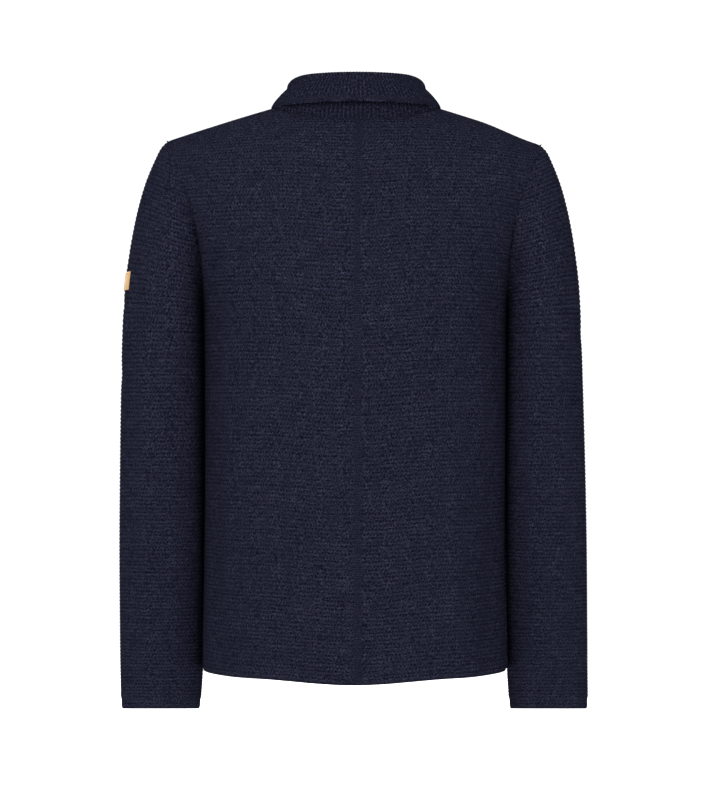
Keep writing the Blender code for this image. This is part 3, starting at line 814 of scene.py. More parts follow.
SLEEVE_COURSE = 4.6 * MM
SLEEVE_COURSE_HEIGHTS = [
    # (distance above the cuff, height of one course), mm
    (0, 4.1),
    (150, 4.3),
    (330, 4.7),
    (480, 5.1),
    (680, 5.3),
]
COURSE_TILTS = [
    # (z in mm, rise of a course for its way outwards from the tilt's centre)
    (-260, 0.0),
    (-190, 0.2),
    (-120, 0.4),
    (-60, 0.5),
    (-30, 0.5),
]
TILT_CENTRE_X = 215
SLEEVE_COLUMNS = 74
# The columns next to a seam lie this close to it
SLEEVE_BY_THE_SEAM = 1.5 * MM
# The top row stops this part of a course short of the shoulder tip, where it would have no length
TOP_ROW_SHORT = 0.04
SLEEVE_RIDGE_SHARE = 1.4
SLEEVE_WAVER_START = 0.4
# Courses run straight, and creases fade out, near the underarm and armhole seams
STRAIGHT_REACH = 12 * MM
CREASE_FREE_REACH = 25 * MM
# All round the widest part, from the cuff to the top of the cap
TURNS = 288
FORM_STEPS_A_RING = 10

# Creases around a sleeve, across from its outer line towards the back (+) or the front (-)
LEFT_SLEEVE_CREASES = [
    # (across, z, half length, half width, lean from upright, height)
    (72, -225, 60, 10, 24, -1.8),
    (50, -226, 7, 60, -3, -0.8),
    (56, -305, 12, 60, -4, -1.3),
    (62, -395, 70, 11, -8, -1.0),
    (30, -470, 70, 12, 5, 0.8),
    (60, -560, 80, 12, 6, -1.2),
    (88, -650, 60, 10, -5, -0.9),
    (142, -420, 230, 24, 0, 3.5),
    (-62, -330, 24, 46, -12, -1.6),
    (-74, -520, 90, 14, -4, -1.2),
]
RIGHT_SLEEVE_CREASES = [
    # (across, z, half length, half width, lean from upright, height)
    (66, -215, 55, 11, 22, -1.8),
    (30, -260, 14, 42, -6, -0.9),
    (60, -360, 80, 11, -7, -1.0),
    (36, -480, 60, 12, 6, 0.8),
    (66, -590, 80, 13, 8, -1.3),
    (142, -430, 220, 24, 0, 3.5),
    (-64, -320, 26, 44, -10, -1.6),
    (-78, -540, 90, 14, -5, -1.1),
]


def armhole_loop(back, front):
    """The left armhole's edge and its cloth's normals, up the back and down the front."""
    turns = np.linspace(0, 2 * math.pi, TURNS + 1)
    z = UNDERARM_Z + (SHOULDER_TIP_Z - UNDERARM_Z) * (1 - np.cos(turns)) / 2
    behind, ahead = (read_line(edge, edge[:, 2], z) for edge in (back["armhole"], front["armhole"]))
    loop = np.where(turns[:, None] <= math.pi, behind, ahead)
    loop[[0, TURNS // 2, -1]] *= (1, 0, 1, 1, 0, 1)
    return loop[:, :3], unit(loop[:, 3:])


def into_opening(edge, normals, along, centre):
    """Directions in the cloth's own surface from an edge's points into the opening beside it."""
    directions = unit(np.cross(normals, along))
    towards = ((centre - edge) * directions).sum(axis=1, keepdims=True)
    return directions * np.sign(towards)


def sleeve_form(loop, normals):
    """The left sleeve's form: rings from the armhole to the cuff, each turned from the underarm."""
    tangent = np.gradient(loop, axis=0)
    tangent[[0, -1]] = loop[1] - loop[-2]
    gap = -SLEEVE_SEAM_LAP * into_opening(loop, normals, tangent, ARMHOLE_CENTRE)
    number = np.linspace(0, len(SLEEVE_RINGS) - 1, FORM_STEPS_A_RING * (len(SLEEVE_RINGS) - 1) + 1)
    rings = [smooth(number, range(len(SLEEVE_RINGS)), column) for column in zip(*SLEEVE_RINGS)]
    rings = np.array(rings)[..., None]
    outer_x, outer_z, inner_x, inner_z, centre_y, half_depth, share, rise = rings
    turns = np.linspace(0, 2 * math.pi, TURNS + 1)
    power = 2 / SLEEVE_SQUARENESS
    along = -np.sign(np.cos(turns)) * np.abs(np.cos(turns)) ** power
    deep = np.sign(np.sin(turns)) * np.abs(np.sin(turns)) ** power
    x = (outer_x + inner_x + along * (outer_x - inner_x)) / 2
    z = (outer_z + inner_z + along * (outer_z - inner_z)) / 2 + deep * half_depth * rise
    form = np.stack([x, centre_y + deep * half_depth, z], axis=-1) * MM
    form += share[..., None] * (loop - form[0])
    form += gap * np.clip(1 - number, 0, 1)[:, None, None]
    return form


def count_sleeve_courses(points):
    """Courses between the cuff and points of a sleeve, whole numbers at underarm and shoulder."""
    x, y, z = np.moveaxis(points / MM, -1, 0)
    heights = [-row[1] for row in SLEEVE_RINGS]
    columns = ([row[column] for row in SLEEVE_RINGS] for column in (4, 7))
    centre_y, rise = (smooth(-z, heights, column) for column in columns)
    below = z - table(COURSE_TILTS, 1, z) * (np.abs(x) - TILT_CENTRE_X) - rise * (y - centre_y)
    courses = count_courses((below - CUFF_Z) * MM, SLEEVE_COURSE_HEIGHTS)
    ends = [0, courses[0, 0], courses[0, TURNS // 2]]
    return np.interp(courses, ends, np.round(ends))


def sleeve_grid(form, edge_normals):
    """Rows of a sleeve along its courses, from the cuff to the top of the cap.

    Rows below the underarm go all the way round. Those above it go from the back of the armhole
    around the outside to its front. Also gives the number of courses below the underarm, and the
    normals of the body's cloth at the ends of each row above it.
    """
    courses = count_sleeve_courses(form)
    edge = courses[0]
    split, top = int(round(edge[0])), int(round(edge[TURNS // 2]))
    levels = np.arange(top * ROWS_A_COURSE + 1) / ROWS_A_COURSE
    levels[-1] -= TOP_ROW_SHORT
    risen, counted = form[::-1], courses[::-1]
    turns = range(TURNS + 1)
    round_rows = [read_line(risen[:, turn], counted[:, turn], levels) for turn in turns]
    round_rows = np.stack(round_rows, axis=1)
    half = TURNS // 2
    armhole = np.concatenate([form[0], edge_normals], axis=1)
    rows, ends = [], []
    for level, line in zip(levels, round_rows):
        if level > split:
            behind = read_line(armhole[: half + 1], edge[: half + 1], [level])
            ahead = read_line(armhole[: half - 1 : -1], edge[: half - 1 : -1], [level])
            line = np.concatenate([behind[:, :3], line[edge >= level], ahead[:, :3]])
            ends.append(unit(np.concatenate([behind[:, 3:], ahead[:, 3:]])))
        places = travelled(line)
        stops = np.linspace(0, places[-1], SLEEVE_COLUMNS + 1)
        stops[[1, -2]] = SLEEVE_BY_THE_SEAM, places[-1] - SLEEVE_BY_THE_SEAM
        rows.append(read_line(line, places, stops))
    return np.array(rows), levels, split, np.array(ends)


def make_sleeve(grid, side, folds):
    """A sleeve's outer and inner points and its marks, which count stitches and courses."""
    points, levels, split, ends = grid
    tube = slice(0, split * ROWS_A_COURSE + 1)
    around = np.gradient(points, axis=1)
    around[tube, 0] = around[tube, -1] = (points[tube, 1] - points[tube, -2]) / 2
    normals = unit(np.cross(around, np.gradient(points, axis=0)))
    normals *= np.sign(normals[0, SLEEVE_COLUMNS // 2, 0])
    normals[tube.stop - 1, [0, -1]] = normals[tube.stop - 2, 0]
    normals[tube.stop :, [0, -1]] = ends
    across = along_rows(points)
    to_seam = np.minimum(across, across[:, -1:] - across)
    across = across[:, -1:] / 2 - across
    up = np.broadcast_to(levels[:, None] * SLEEVE_COURSE, across.shape)

    bend = COURSE_WAVER * waver(across * side + SLEEVE_WAVER_START, up)
    bent = levels[:, None] + bend * (1 - near(to_seam, STRAIGHT_REACH))
    above_cuff = points[..., 2] - points[:1, :, 2]
    ridged = ease((above_cuff - CUFF_BAND) / CUFF_EASE)
    level = off_seams(ridged, to_seam)
    relief = SLEEVE_RIDGE_SHARE * level * ridges(bent)
    relief -= (1 - level) * FLAT_SINK + (1 - ridged) * CUFF_TUCK
    z = points[..., 2] / MM
    fullness, dip, deep = (table(CONTACT, column, z) * MM for column in (2, 3, 4))
    relief += fullness * near(to_seam, CONTACT_REACH) - dip * near(to_seam, SEAM_DIP_REACH)
    fold = creases(across, points[..., 2], folds) * (1 - near(to_seam, CREASE_FREE_REACH))
    sunk = deep * (1 if side > 0 else RIGHT_FOLD_SHARE)
    sunk = sunk * near(to_seam, ARMHOLE_FOLD_REACH) * np.sign(across)
    roll = EDGE_ROLL * near(above_cuff, EDGE_ROLL_REACH)
    outer = points + normals * (fold + relief - roll)[..., None]
    inner = points + normals * (fold + roll - CLOTH)[..., None]
    for wall in (outer, inner):
        wall[..., 1] -= sunk
    mirror = np.array([side, 1, 1])
    marks = np.stack([across / STITCH_WIDTH, bent], axis=-1)
    return outer * mirror, inner * mirror, marks, split


armhole_edge, armhole_normals = armhole_loop(panels["back_left"], panels["front_left"])
sleeve = sleeve_form(armhole_edge, armhole_normals)
sleeve_rows = sleeve_grid(sleeve, armhole_normals)
for name, side, folds in (("left", 1, LEFT_SLEEVE_CREASES), ("right", -1, RIGHT_SLEEVE_CREASES)):
    outer, inner, marks, split = make_sleeve(sleeve_rows, side, folds)
    cloth = add_shell(f"sleeve_{name}_cloth", outer, inner, marks, [knit], split)
    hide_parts(f"sleeve_{name}")


# --- Collar ---
# One strip of 1x1 rib, which stretches around the neck, stands up and folds over. Its sewn edge
# meets the neck edge, its ribs show on both faces, and its free edge has a flatter, firmer band.

COLLAR_SECTIONS = [
    # (turn, fold width, fold depth, fold z, edge spread, edge z, edge sweep), degrees and mm
    (0, 72, 62, 40, 9, 5, 0),
    (45, 72.5, 63, 40, 4, 4, 0),
    (90, 74, 75, 34, -8, 7, 0),
    (115, 80, 90, 24, 5, -6, 2),
    (135, 83, 97, 5, 10, -38, 8),
    (180, 80, 96.5, -44, 19, -114, 24),
]
RIB_CLOTH = 3.0 * MM
COLLAR_END_X = 2.0 * MM
COLLAR_SEAM_GAP = 0.05 * MM
COLLAR_RIB_PITCH = 5.0 * MM
COLLAR_RIB_HEIGHT = 0.4 * MM
COLLAR_FOLD_WIDTH = 6.4 * MM
COLLAR_FOLD_RISE = 3.5 * MM
COLLAR_FOLD_DROP = 5.0 * MM
COLLAR_OFF_BODY = 5.5 * MM
COLLAR_COURSE = 4.2 * MM
# The firm band along the free edge, and the groove that it starts with
COLLAR_EDGE_BAND = 8 * MM
COLLAR_BAND_EASE = 2 * MM
COLLAR_BAND_RIB_SHARE = 0.25
COLLAR_BAND_RISE = 0.35 * MM
COLLAR_GROOVE = 0.35 * MM
COLLAR_GROOVE_REACH = 1.5 * MM
# Between its ribs the strip is thinner than its cloth, and it thins at its seam and its free edge
COLLAR_SINK = 0.25 * MM
COLLAR_SEAM_FLATTENING = 0.8
COLLAR_SEAM_REACH = 3 * MM
COLLAR_EDGE_THINNING = 0.25
COLLAR_EDGE_REACH = 1.2 * MM
COLLAR_EDGE_ROUNDNESS = 0.8
# A strip as long as the neck edge, highest at its two ends
# Shares of the way, sideways (twice) and up: from neck seam to fold, and from fold to edge
STAND_MIDDLE = np.array([0.3, 0.3, 0.5])
FALL_MIDDLE = np.array([0.6, 0.6, 0.55])
NECK_PLAN_DEPTH = {"back": 71 * MM, "front": 103 * MM}
NECK_CENTRE = np.array([0, 0, 20]) * MM
# Points of the neck edge among which the collar's end is looked for
LAP_POINTS = 8
STATIONS_A_RIB = 8
STAND_STEPS = 10
FOLD_STEPS = 10
FALL_STEPS = 18
EDGE_STEPS = 4
RIB_NAVY = (0.0062, 0.0068, 0.0130)


def neck_side(back, front):
    """The neck edge on one side, from the centre front to the centre back, with its normals."""
    corner = (front["neck"][-1] + back["neck"][-1]) / 2
    line = np.concatenate([front["neck"][:-1], [corner], back["neck"][-2::-1]])
    from_lap = line[:LAP_POINTS, 0] * np.sign(line[LAP_POINTS - 1, 0])
    start = np.interp(COLLAR_END_X, from_lap, range(LAP_POINTS))
    first = read_line(line, range(len(line)), [start])
    line = np.concatenate([first, line[int(start) + 1 :]])
    into = into_opening(line[:, :3], line[:, 3:], np.gradient(line[:, :3], axis=0), NECK_CENTRE)
    return np.concatenate([line, into], axis=1)


def neck_stations():
    """Stations around the neck edge from the left end to the right one, with their rib numbers."""
    left = neck_side(panels["back_left"], panels["front_left"])
    right = neck_side(panels["back_right"], panels["front_right"])
    line = np.concatenate([left[:-1], [(left[-1] + right[-1]) / 2], right[-2::-1]])
    places = travelled(line[:, :3])
    corners = [0, len(left) - 1 - NECK_COLUMNS, len(left) - 1, len(left) - 1 + NECK_COLUMNS, -1]
    ribs, stops = [0.0], [0.0]
    for a, b in zip(places[corners], places[corners[1:]]):
        count = round((b - a) / COLLAR_RIB_PITCH) * STATIONS_A_RIB
        stops.extend(np.linspace(a, b, count + 1)[1:])
        ribs.extend(ribs[-1] + np.arange(1, count + 1) / STATIONS_A_RIB)
    line = read_line(line, places, stops)
    return line[:, :3], unit(line[:, 3:6]), unit(line[:, 6:]), np.array(ribs)


def through(first, middle, last, steps):
    """Points of a bent line through three points, a line for each station."""
    t = np.linspace(0, 1, steps + 1)[None, :, None]
    points = (1 - t) * (1 - 2 * t) * first[:, None] + 4 * t * (1 - t) * middle[:, None]
    return points + t * (2 * t - 1) * last[:, None]


def off_the_body(points):
    """Lifts points of the fall until they are clear of the shoulders and fronts."""
    for face, here in (("back", points[:, 1] > 0), ("front", points[:, 1] <= 0)):
        depth = full_depth(points[:, 0], 0.0, face)
        share = np.clip(np.abs(points[:, 1]) / depth, 0, 1)
        rise = (1 - share**SHOULDER_SQUARENESS) ** (1 / SHOULDER_SQUARENESS)
        top = SHOULDER_ROUND_Z + rise * (shoulder_line(points[:, 0]) - SHOULDER_ROUND_Z)
        points[here, 2] = np.maximum(points[:, 2], top + COLLAR_OFF_BODY)[here]
    return points


def collar_paths(base):
    """The middle of the strip at each station, from the neck seam over the fold to the free edge.

    Also gives the level direction that faces away from the neck.
    """
    plan_depth = np.where(base[:, 1] > 0, NECK_PLAN_DEPTH["back"], NECK_PLAN_DEPTH["front"])
    turn = np.arctan2(np.abs(base[:, 0]) / NECK_HALF_WIDTH, base[:, 1] / plan_depth)
    fold_width, fold_depth, fold_z, spread, edge_z, sweep = (
        table(COLLAR_SECTIONS, column, np.degrees(turn)) * MM for column in range(1, 7)
    )
    level = np.array([0.0, 0.0, 1.0])
    flat = np.zeros(len(base))
    steepness = base[:, 0] / NECK_HALF_WIDTH**2, base[:, 1] / plan_depth**2
    out = unit(np.stack([*steepness, flat], axis=1))
    fold_x = np.maximum(fold_width * np.sin(turn), np.minimum(np.abs(base[:, 0]), COLLAR_END_X))
    fold = np.stack([np.sign(base[:, 0]) * fold_x, fold_depth * np.cos(turn), fold_z], axis=1)
    free_edge = base + spread[:, None] * out
    free_edge[:, 0] += np.sign(base[:, 0]) * sweep
    free_edge[:, 2] = edge_z

    rising = fold - COLLAR_FOLD_DROP * level
    falling = rising + COLLAR_FOLD_WIDTH * out
    stand = through(base, base + (rising - base) * STAND_MIDDLE, rising, STAND_STEPS)
    over = np.linspace(0, math.pi, FOLD_STEPS + 1)[1:-1, None]
    arch = (1 - np.cos(over)) / 2 * COLLAR_FOLD_WIDTH * out[:, None]
    arch = rising[:, None] + arch + np.sin(over) * COLLAR_FOLD_RISE * level
    middle = off_the_body(fold + (free_edge - fold) * FALL_MIDDLE)
    fall = through(falling, middle, off_the_body(free_edge), FALL_STEPS)
    return np.concatenate([stand, arch, fall], axis=1), out


def collar_sections(edge, normals, inwards, ribs):
    """A closed section of the collar at each station, its ribs and courses, and its band."""
    base_out = edge + inwards * COLLAR_SEAM_GAP
    base_in = base_out - normals * CLOTH
    path, out = collar_paths((base_out + base_in) / 2)

    across = np.cross(out, (0.0, 0.0, 1.0))[:, None]
    run = np.gradient(path, axis=1)
    run = unit(run - (run * across).sum(axis=2, keepdims=True) * across)
    side = unit(np.cross(across, run))
    side *= -np.sign((side[:, 1] * out).sum(axis=1))[:, None, None]
    lengths = np.linalg.norm(np.diff(path, axis=1), axis=2)
    along = np.concatenate([np.zeros((len(path), 1)), np.cumsum(lengths, axis=1)], axis=1)
    to_edge = along[:, -1:] - along
    soft = ease((to_edge - COLLAR_EDGE_BAND) / COLLAR_BAND_EASE)
    strength = COLLAR_BAND_RIB_SHARE + (1 - COLLAR_BAND_RIB_SHARE) * soft
    strength = strength * (1 - COLLAR_SEAM_FLATTENING * near(along, COLLAR_SEAM_REACH))
    rib = strength * (COLLAR_RIB_HEIGHT / 2) * np.cos(2 * math.pi * ribs)[:, None]
    half = RIB_CLOTH / 2 + rib - COLLAR_SINK + COLLAR_BAND_RISE * (1 - soft)
    half = half - COLLAR_GROOVE * near(to_edge - COLLAR_EDGE_BAND, COLLAR_GROOVE_REACH)
    half = half * (1 - COLLAR_EDGE_THINNING * near(to_edge, COLLAR_EDGE_REACH))
    half = half - TOP_SEAM_DIP * near(along, SEAM_DIP_REACH)
    neck_face = path + side * half[..., None]
    far_face = path - side * half[..., None]
    neck_face[:, 0], far_face[:, 0] = base_in, base_out
    round_edge = np.linspace(0, math.pi, EDGE_STEPS + 2)[1:-1, None]
    cap = np.cos(round_edge) * side[:, -1:]
    cap = cap + np.sin(round_edge) * run[:, -1:] * COLLAR_EDGE_ROUNDNESS
    cap = path[:, -1:] + cap * half[:, -1, None, None]
    sections = np.concatenate([neck_face, cap, far_face[:, ::-1]], axis=1)
    ends = np.repeat(along[:, -1:], EDGE_STEPS, axis=1)
    up = np.concatenate([along, ends, along[:, ::-1]], axis=1) / COLLAR_COURSE
    marks = np.stack([np.broadcast_to(ribs[:, None], up.shape), up], axis=-1)
    banded = up > (along[:, -1:] - COLLAR_EDGE_BAND) / COLLAR_COURSE
    return sections, marks, banded


def closed_tube(rings, around):
    """Faces of a tube of closed rings, and its two ends."""
    at = np.arange(rings * around).reshape(rings, around)
    return quads(np.column_stack([at, at[:, 0]])) + [at[0].tolist(), at[-1].tolist()]


def add_collar(rib, band):
    """The collar, with its ribs' finish and the finish of the band along its free edge."""
    sections, marks, banded = collar_sections(*neck_stations())
    faces = closed_tube(*sections.shape[:2])
    used = [*(banded & np.roll(banded, -1, axis=1))[:-1].ravel().astype(int).tolist(), 0, 0]
    points = as_hung(sections.reshape(-1, 3))
    return add_cloth("collar_cloth", points, faces, marks.reshape(-1, 2), rib, band, used=used)


def rib_finish(name):
    """The same wool in 1x1 rib: a raised wale for each rib, crossed by fine courses, with painted
    shade.
    """
    wool = Finish(name, RIB_NAVY, Roughness=0.95, Specular_IOR_Level=0.0)
    rib, course = wool.counts()
    solid = wool.solid()
    tension = wool.noise(solid, TENSION_SPOTS)

    # Wales: each rib stands up from its furrow, and its stitches rise a little over the courses
    wale = (rib + (tension - 0.5) * 0.4).wave()
    stitch = (course + wale * 0.18 + (tension - 0.5) * 0.6).wave()
    furrow = 0.5 - 0.5 * wale
    strand = wool.noise(wool.vector(rib * 2.6, course * 1.5, 0.0), 1.0, 3.0, 0.72)
    height = 1.0 - furrow * 0.6 + stitch * 0.22 + strand * 1.2
    wool.bump(height, 1.0 * MM, 1.0)

    # Colour: painted shade deep in the furrows and between the stitches, with paler and darker
    # strands and brown flecks
    # Painted shade: darker in the furrows and between the stitches
    deep = (furrow**1.5 * 0.6 + (0.2 - stitch * 0.2)).held()
    ground = wool.mix(deep, (*RIB_NAVY, 1), (*NAVY_DARK_AND_SHADE, 1))
    # The paler strands dim in the furrows, also as painted shade
    pale = ((strand - 0.5) * 5.0).held() * (1.0 - furrow * 0.4)
    ground = wool.mix(pale * 0.7, ground, (*NAVY_PALE, 1))
    dark = ((0.46 - strand) * 6.0).held()
    ground = wool.mix(dark * 0.6, ground, (*NAVY_DARK_AND_SHADE, 1))
    wool.colour(wool.mix(brown_flecks(wool, solid) * 0.5, ground, (*BROWN_FLECK, 1)))
    return wool.material


collar = add_collar(rib_finish("navy rib"), knit_finish("navy collar band", 1.6))
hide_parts("collar")


# --- Leather tag ---
# A bare rectangle of tan leather, 1.2 mm thick, that wraps the outer side of the left sleeve. It is
# sewn on near its edges with tan thread and has no print.

TAG_TOP_Z = -188.8 * MM
TAG_BOTTOM_Z = -210 * MM
TAG_TURNS = (145, 187)
TAG_SEAT = 0.1 * MM
TAG_THICKNESS = 1.2 * MM
TAG_ROUNDING = 0.4 * MM
TAG_ROWS = 14
TAG_COLUMNS = 30
STITCH_LENGTH = 2.2 * MM
STITCH_THICKNESS = 0.55 * MM
TAG_STITCHES_ALONG = 16
TAG_STITCHES_UP = 4
TAG_STITCH_INSET = 2.0 * MM
TAG_LENGTH = 55 * MM
TAN = (0.330, 0.200, 0.086)
# Darker tan: for the leather's darker grain and patches, and as painted shade between the thread's
# plies
TAN_DARK_AND_SHADE = (0.210, 0.115, 0.047)
TAN_THREAD = (0.400, 0.270, 0.150)


def on_sleeve(turns, heights):
    """Points of the left sleeve's form and its normals, at turns in degrees and heights."""
    normals = unit(np.cross(np.gradient(sleeve, axis=1), np.gradient(sleeve, axis=0)))
    normals *= np.sign(normals[FORM_STEPS_A_RING, TURNS // 2, 0])
    both = np.concatenate([sleeve, normals], axis=2)
    found = []
    for turn, height in zip(turns.ravel(), heights.ravel()):
        place = turn * TURNS / 360
        before, share = int(place), place % 1
        line = both[:, before] * (1 - share) + both[:, before + 1] * share
        found.append(read_line(line, -line[:, 2], [-height])[0])
    found = np.array(found).reshape(*turns.shape, 6)
    return found[..., :3], unit(found[..., 3:])


def add_stitches(name, middles, headings, normals, finish):
    """Short rounded stitches, made from one bead that is laid at each place along its heading."""
    bpy.ops.object.select_all(action="DESELECT")
    bpy.ops.mesh.primitive_uv_sphere_add(segments=8, ring_count=6, radius=1)
    bead = bpy.context.object
    bead.rotation_euler = (0, math.pi / 2, 0)
    bpy.ops.object.transform_apply()
    ball = np.array([vert.co for vert in bead.data.vertices])
    ball *= (STITCH_LENGTH / 2, STITCH_THICKNESS / 2, STITCH_THICKNESS / 2)
    ball_faces = np.array([[*face.vertices, -1][:4] for face in bead.data.polygons])
    bpy.data.objects.remove(bead)
    sideways = np.cross(normals, headings)
    frames = np.stack([headings, sideways, normals], axis=1)
    points = middles[:, None] + np.einsum("va,sac->svc", ball, frames)
    faces = []
    for number in range(len(middles)):
        for face in ball_faces:
            faces.append([int(at) + number * len(ball) for at in face if at >= 0])
    points = points.reshape(-1, 3)
    return add_cloth(name, as_hung(points), faces, points[:, :2] / STITCH_WIDTH, finish)


def leather_finish(name):
    """Smooth tan leather with a fine grain, a little darker and rougher in its grain's dips."""
    leather = Finish(name, TAN, Roughness=0.55, Specular_IOR_Level=0.15)
    solid = leather.solid()
    grain = leather.noise(solid, 900, 3.0, 0.6)
    clouds = leather.noise(solid, 90, 2.0)
    leather.bump(grain + clouds * 0.5, 0.15 * MM, 0.8)
    worn = ((grain - 0.5) * 1.6 + (clouds - 0.5) * 1.2 + 0.25).held()
    leather.colour(leather.mix(worn * 0.5, (*TAN, 1), (*TAN_DARK_AND_SHADE, 1)))
    leather.put(leather.shader, "Roughness", 0.5 + grain * 0.15)
    return leather.material


def thread_finish(name, colour, deep):
    """Twisted sewing thread: fine slanting plies along each stitch, with painted shade between
    them.
    """
    thread = Finish(name, colour, Roughness=0.7, Specular_IOR_Level=0.2)
    solid = thread.solid()
    x, y, z = thread.split(solid)
    slant = x + y + z * 1.4
    ply = (slant * 1600 + thread.noise(solid, 700) * 0.8).wave()
    thread.bump(ply, 0.1 * MM, 0.7)
    # Painted shade: the thread is mixed towards deep between its plies
    thread.colour(thread.mix((0.35 - ply * 0.35).held(), (*colour, 1), (*deep, 1)))
    return thread.material


def to_border(rows, columns):
    """Steps from each point of a grid to its nearest edge."""
    up, along = np.arange(rows)[:, None], np.arange(columns)[None, :]
    return np.minimum(np.minimum(up, rows - 1 - up), np.minimum(along, columns - 1 - along))


def add_patch(name, outer, inner, finish):
    """A closed sheet from its outer and inner grids of points."""
    rows, columns = outer.shape[:2]
    outside_at = np.arange(rows * columns).reshape(rows, columns)
    inside_at = outside_at + rows * columns
    faces = quads(outside_at) + quads(inside_at)
    rims = [(at[0], at[-1], at[:, 0], at[:, -1]) for at in (outside_at, inside_at)]
    for outside, inside in zip(*rims):
        faces += np.stack([outside[:-1], outside[1:], inside[1:], inside[:-1]], axis=-1).tolist()
    points = np.concatenate([outer.reshape(-1, 3), inner.reshape(-1, 3)])
    return add_cloth(name, as_hung(points), faces, points[:, 1:] / STITCH_WIDTH, finish)


turns, heights = np.meshgrid(
    np.linspace(*TAG_TURNS, TAG_COLUMNS + 1), np.linspace(TAG_BOTTOM_Z, TAG_TOP_Z, TAG_ROWS + 1)
)
under, tag_normals = on_sleeve(turns, heights)
lift = TAG_SEAT + TAG_THICKNESS - TAG_ROUNDING * (to_border(TAG_ROWS + 1, TAG_COLUMNS + 1) == 0)
tag = add_patch(
    "sleeve_tag_leather",
    under + tag_normals * lift[..., None],
    under + tag_normals * TAG_SEAT,
    leather_finish("tan leather"),
)
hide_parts("sleeve_tag")

turn_inset = TAG_STITCH_INSET / TAG_LENGTH * (TAG_TURNS[1] - TAG_TURNS[0])
low, high = TAG_BOTTOM_Z + TAG_STITCH_INSET, TAG_TOP_Z - TAG_STITCH_INSET
first, last = TAG_TURNS[0] + turn_inset, TAG_TURNS[1] - turn_inset
along = np.linspace(first, last, TAG_STITCHES_ALONG)
up = np.linspace(low, high, TAG_STITCHES_UP + 2)[1:-1]
level_rows = [(turn, height) for height in (low, high) for turn in along]
upright_rows = [(turn, height) for turn in (first, last) for height in up]
stitch_at = np.array(level_rows + upright_rows)
middles, normals = on_sleeve(stitch_at[:, 0], stitch_at[:, 1])
ahead, _ = on_sleeve(stitch_at[:, 0] + 0.5, stitch_at[:, 1])
headings = unit(ahead - middles)
turned = np.cross(normals, headings)
headings[len(level_rows) :] = unit(turned)[len(level_rows) :]
tag_stitches = add_stitches(
    "sleeve_tag_stitches",
    middles + normals * (TAG_SEAT + TAG_THICKNESS),
    headings,
    normals,
    thread_finish("tan thread", TAN_THREAD, TAN_DARK_AND_SHADE),
)


# --- Buttons and buttonholes ---
# Five plain horn buttons in dark navy, each turned with a raised rim around a dished middle,
# drilled with four holes and sewn on with navy thread. Each stands at the front end of a level
# buttonhole, whose edge is bound with close thread stitches.

BUTTON_TOP_Z = -145 * MM
BUTTON_PITCH = 112 * MM
BUTTON_COUNT = 5
BUTTON_RADIUS = 10 * MM
BUTTON_THICKNESS = 3.4 * MM
BUTTON_SEAT = 0.3 * MM
BUTTON_RIM = 2.3 * MM
BUTTON_DISH = 1.0 * MM
BUTTON_DISH_SLOPE = 0.9 * MM
BUTTON_ROUNDING = 0.35 * MM
BUTTON_SIDES = 64
HOLE_SIDES = 20
HOLE_RADIUS = 0.95 * MM
HOLE_OUT = 1.7 * MM
THREAD_RADIUS = 0.42 * MM
THREAD_DEPTH = 2.3 * MM
HORN = (0.0060, 0.0065, 0.0120)
HORN_PALE = (0.0170, 0.0185, 0.0300)

# Where a buttonhole's slit starts and ends, across from the centre front
BUTTONHOLE = (-3.5 * MM, 19.5 * MM)
BUTTONHOLE_ROUND_STEPS = 10
BUTTONHOLE_SIDE_STEPS = 12
BUTTONHOLE_SECTION = [
    # (distance from the slit, height above the cloth's form), mm
    (0.15, 0.10),
    (0.35, 0.30),
    (0.60, 0.70),
    (1.10, 0.85),
    (1.70, 0.70),
    (2.10, 0.30),
    (2.20, -0.60),
    (0.15, -0.60),
]


def select_only(piece):
    bpy.ops.object.select_all(action="DESELECT")
    piece.select_set(True)
    bpy.context.view_layer.objects.active = piece


def apply_modifiers(piece):
    select_only(piece)
    for modifier in list(piece.modifiers):
        bpy.ops.object.modifier_apply(modifier=modifier.name)


def model_button():
    """The button, lying face up around the origin."""
    bpy.ops.object.select_all(action="DESELECT")
    bpy.ops.mesh.primitive_cylinder_add(
        vertices=BUTTON_SIDES, radius=BUTTON_RADIUS, depth=BUTTON_THICKNESS
    )
    button = bpy.context.object
    bpy.ops.object.mode_set(mode="EDIT")
    bpy.ops.mesh.select_mode(type="FACE")
    bpy.ops.mesh.select_all(action="DESELECT")
    shape = bmesh.from_edit_mesh(button.data)
    for face in shape.faces:
        face.select = face.normal.z > 0.9
    bmesh.update_edit_mesh(button.data)
    bpy.ops.mesh.inset(thickness=BUTTON_RIM)
    bpy.ops.mesh.inset(thickness=BUTTON_DISH_SLOPE)
    bpy.ops.transform.translate(value=(0, 0, -BUTTON_DISH))
    bpy.ops.object.mode_set(mode="OBJECT")

    for x in (-HOLE_OUT, HOLE_OUT):
        for y in (-HOLE_OUT, HOLE_OUT):
            bpy.ops.mesh.primitive_cylinder_add(
                vertices=HOLE_SIDES,
                radius=HOLE_RADIUS,
                depth=3 * BUTTON_THICKNESS,
                location=(x, y, 0),
            )
            drill = bpy.context.object
            hole = button.modifiers.new("hole", "BOOLEAN")
            hole.object = drill
            select_only(button)
            bpy.ops.object.modifier_apply(modifier=hole.name)
            bpy.data.objects.remove(drill)
    rounding = button.modifiers.new("rounding", "BEVEL")
    rounding.width = BUTTON_ROUNDING
    rounding.segments = 3
    rounding.angle_limit = math.radians(35)
    apply_modifiers(button)
    bpy.ops.object.shade_smooth_by_angle(angle=math.radians(40))
    button.modifiers.new("flat faces", "WEIGHTED_NORMAL")
    apply_modifiers(button)
    return button


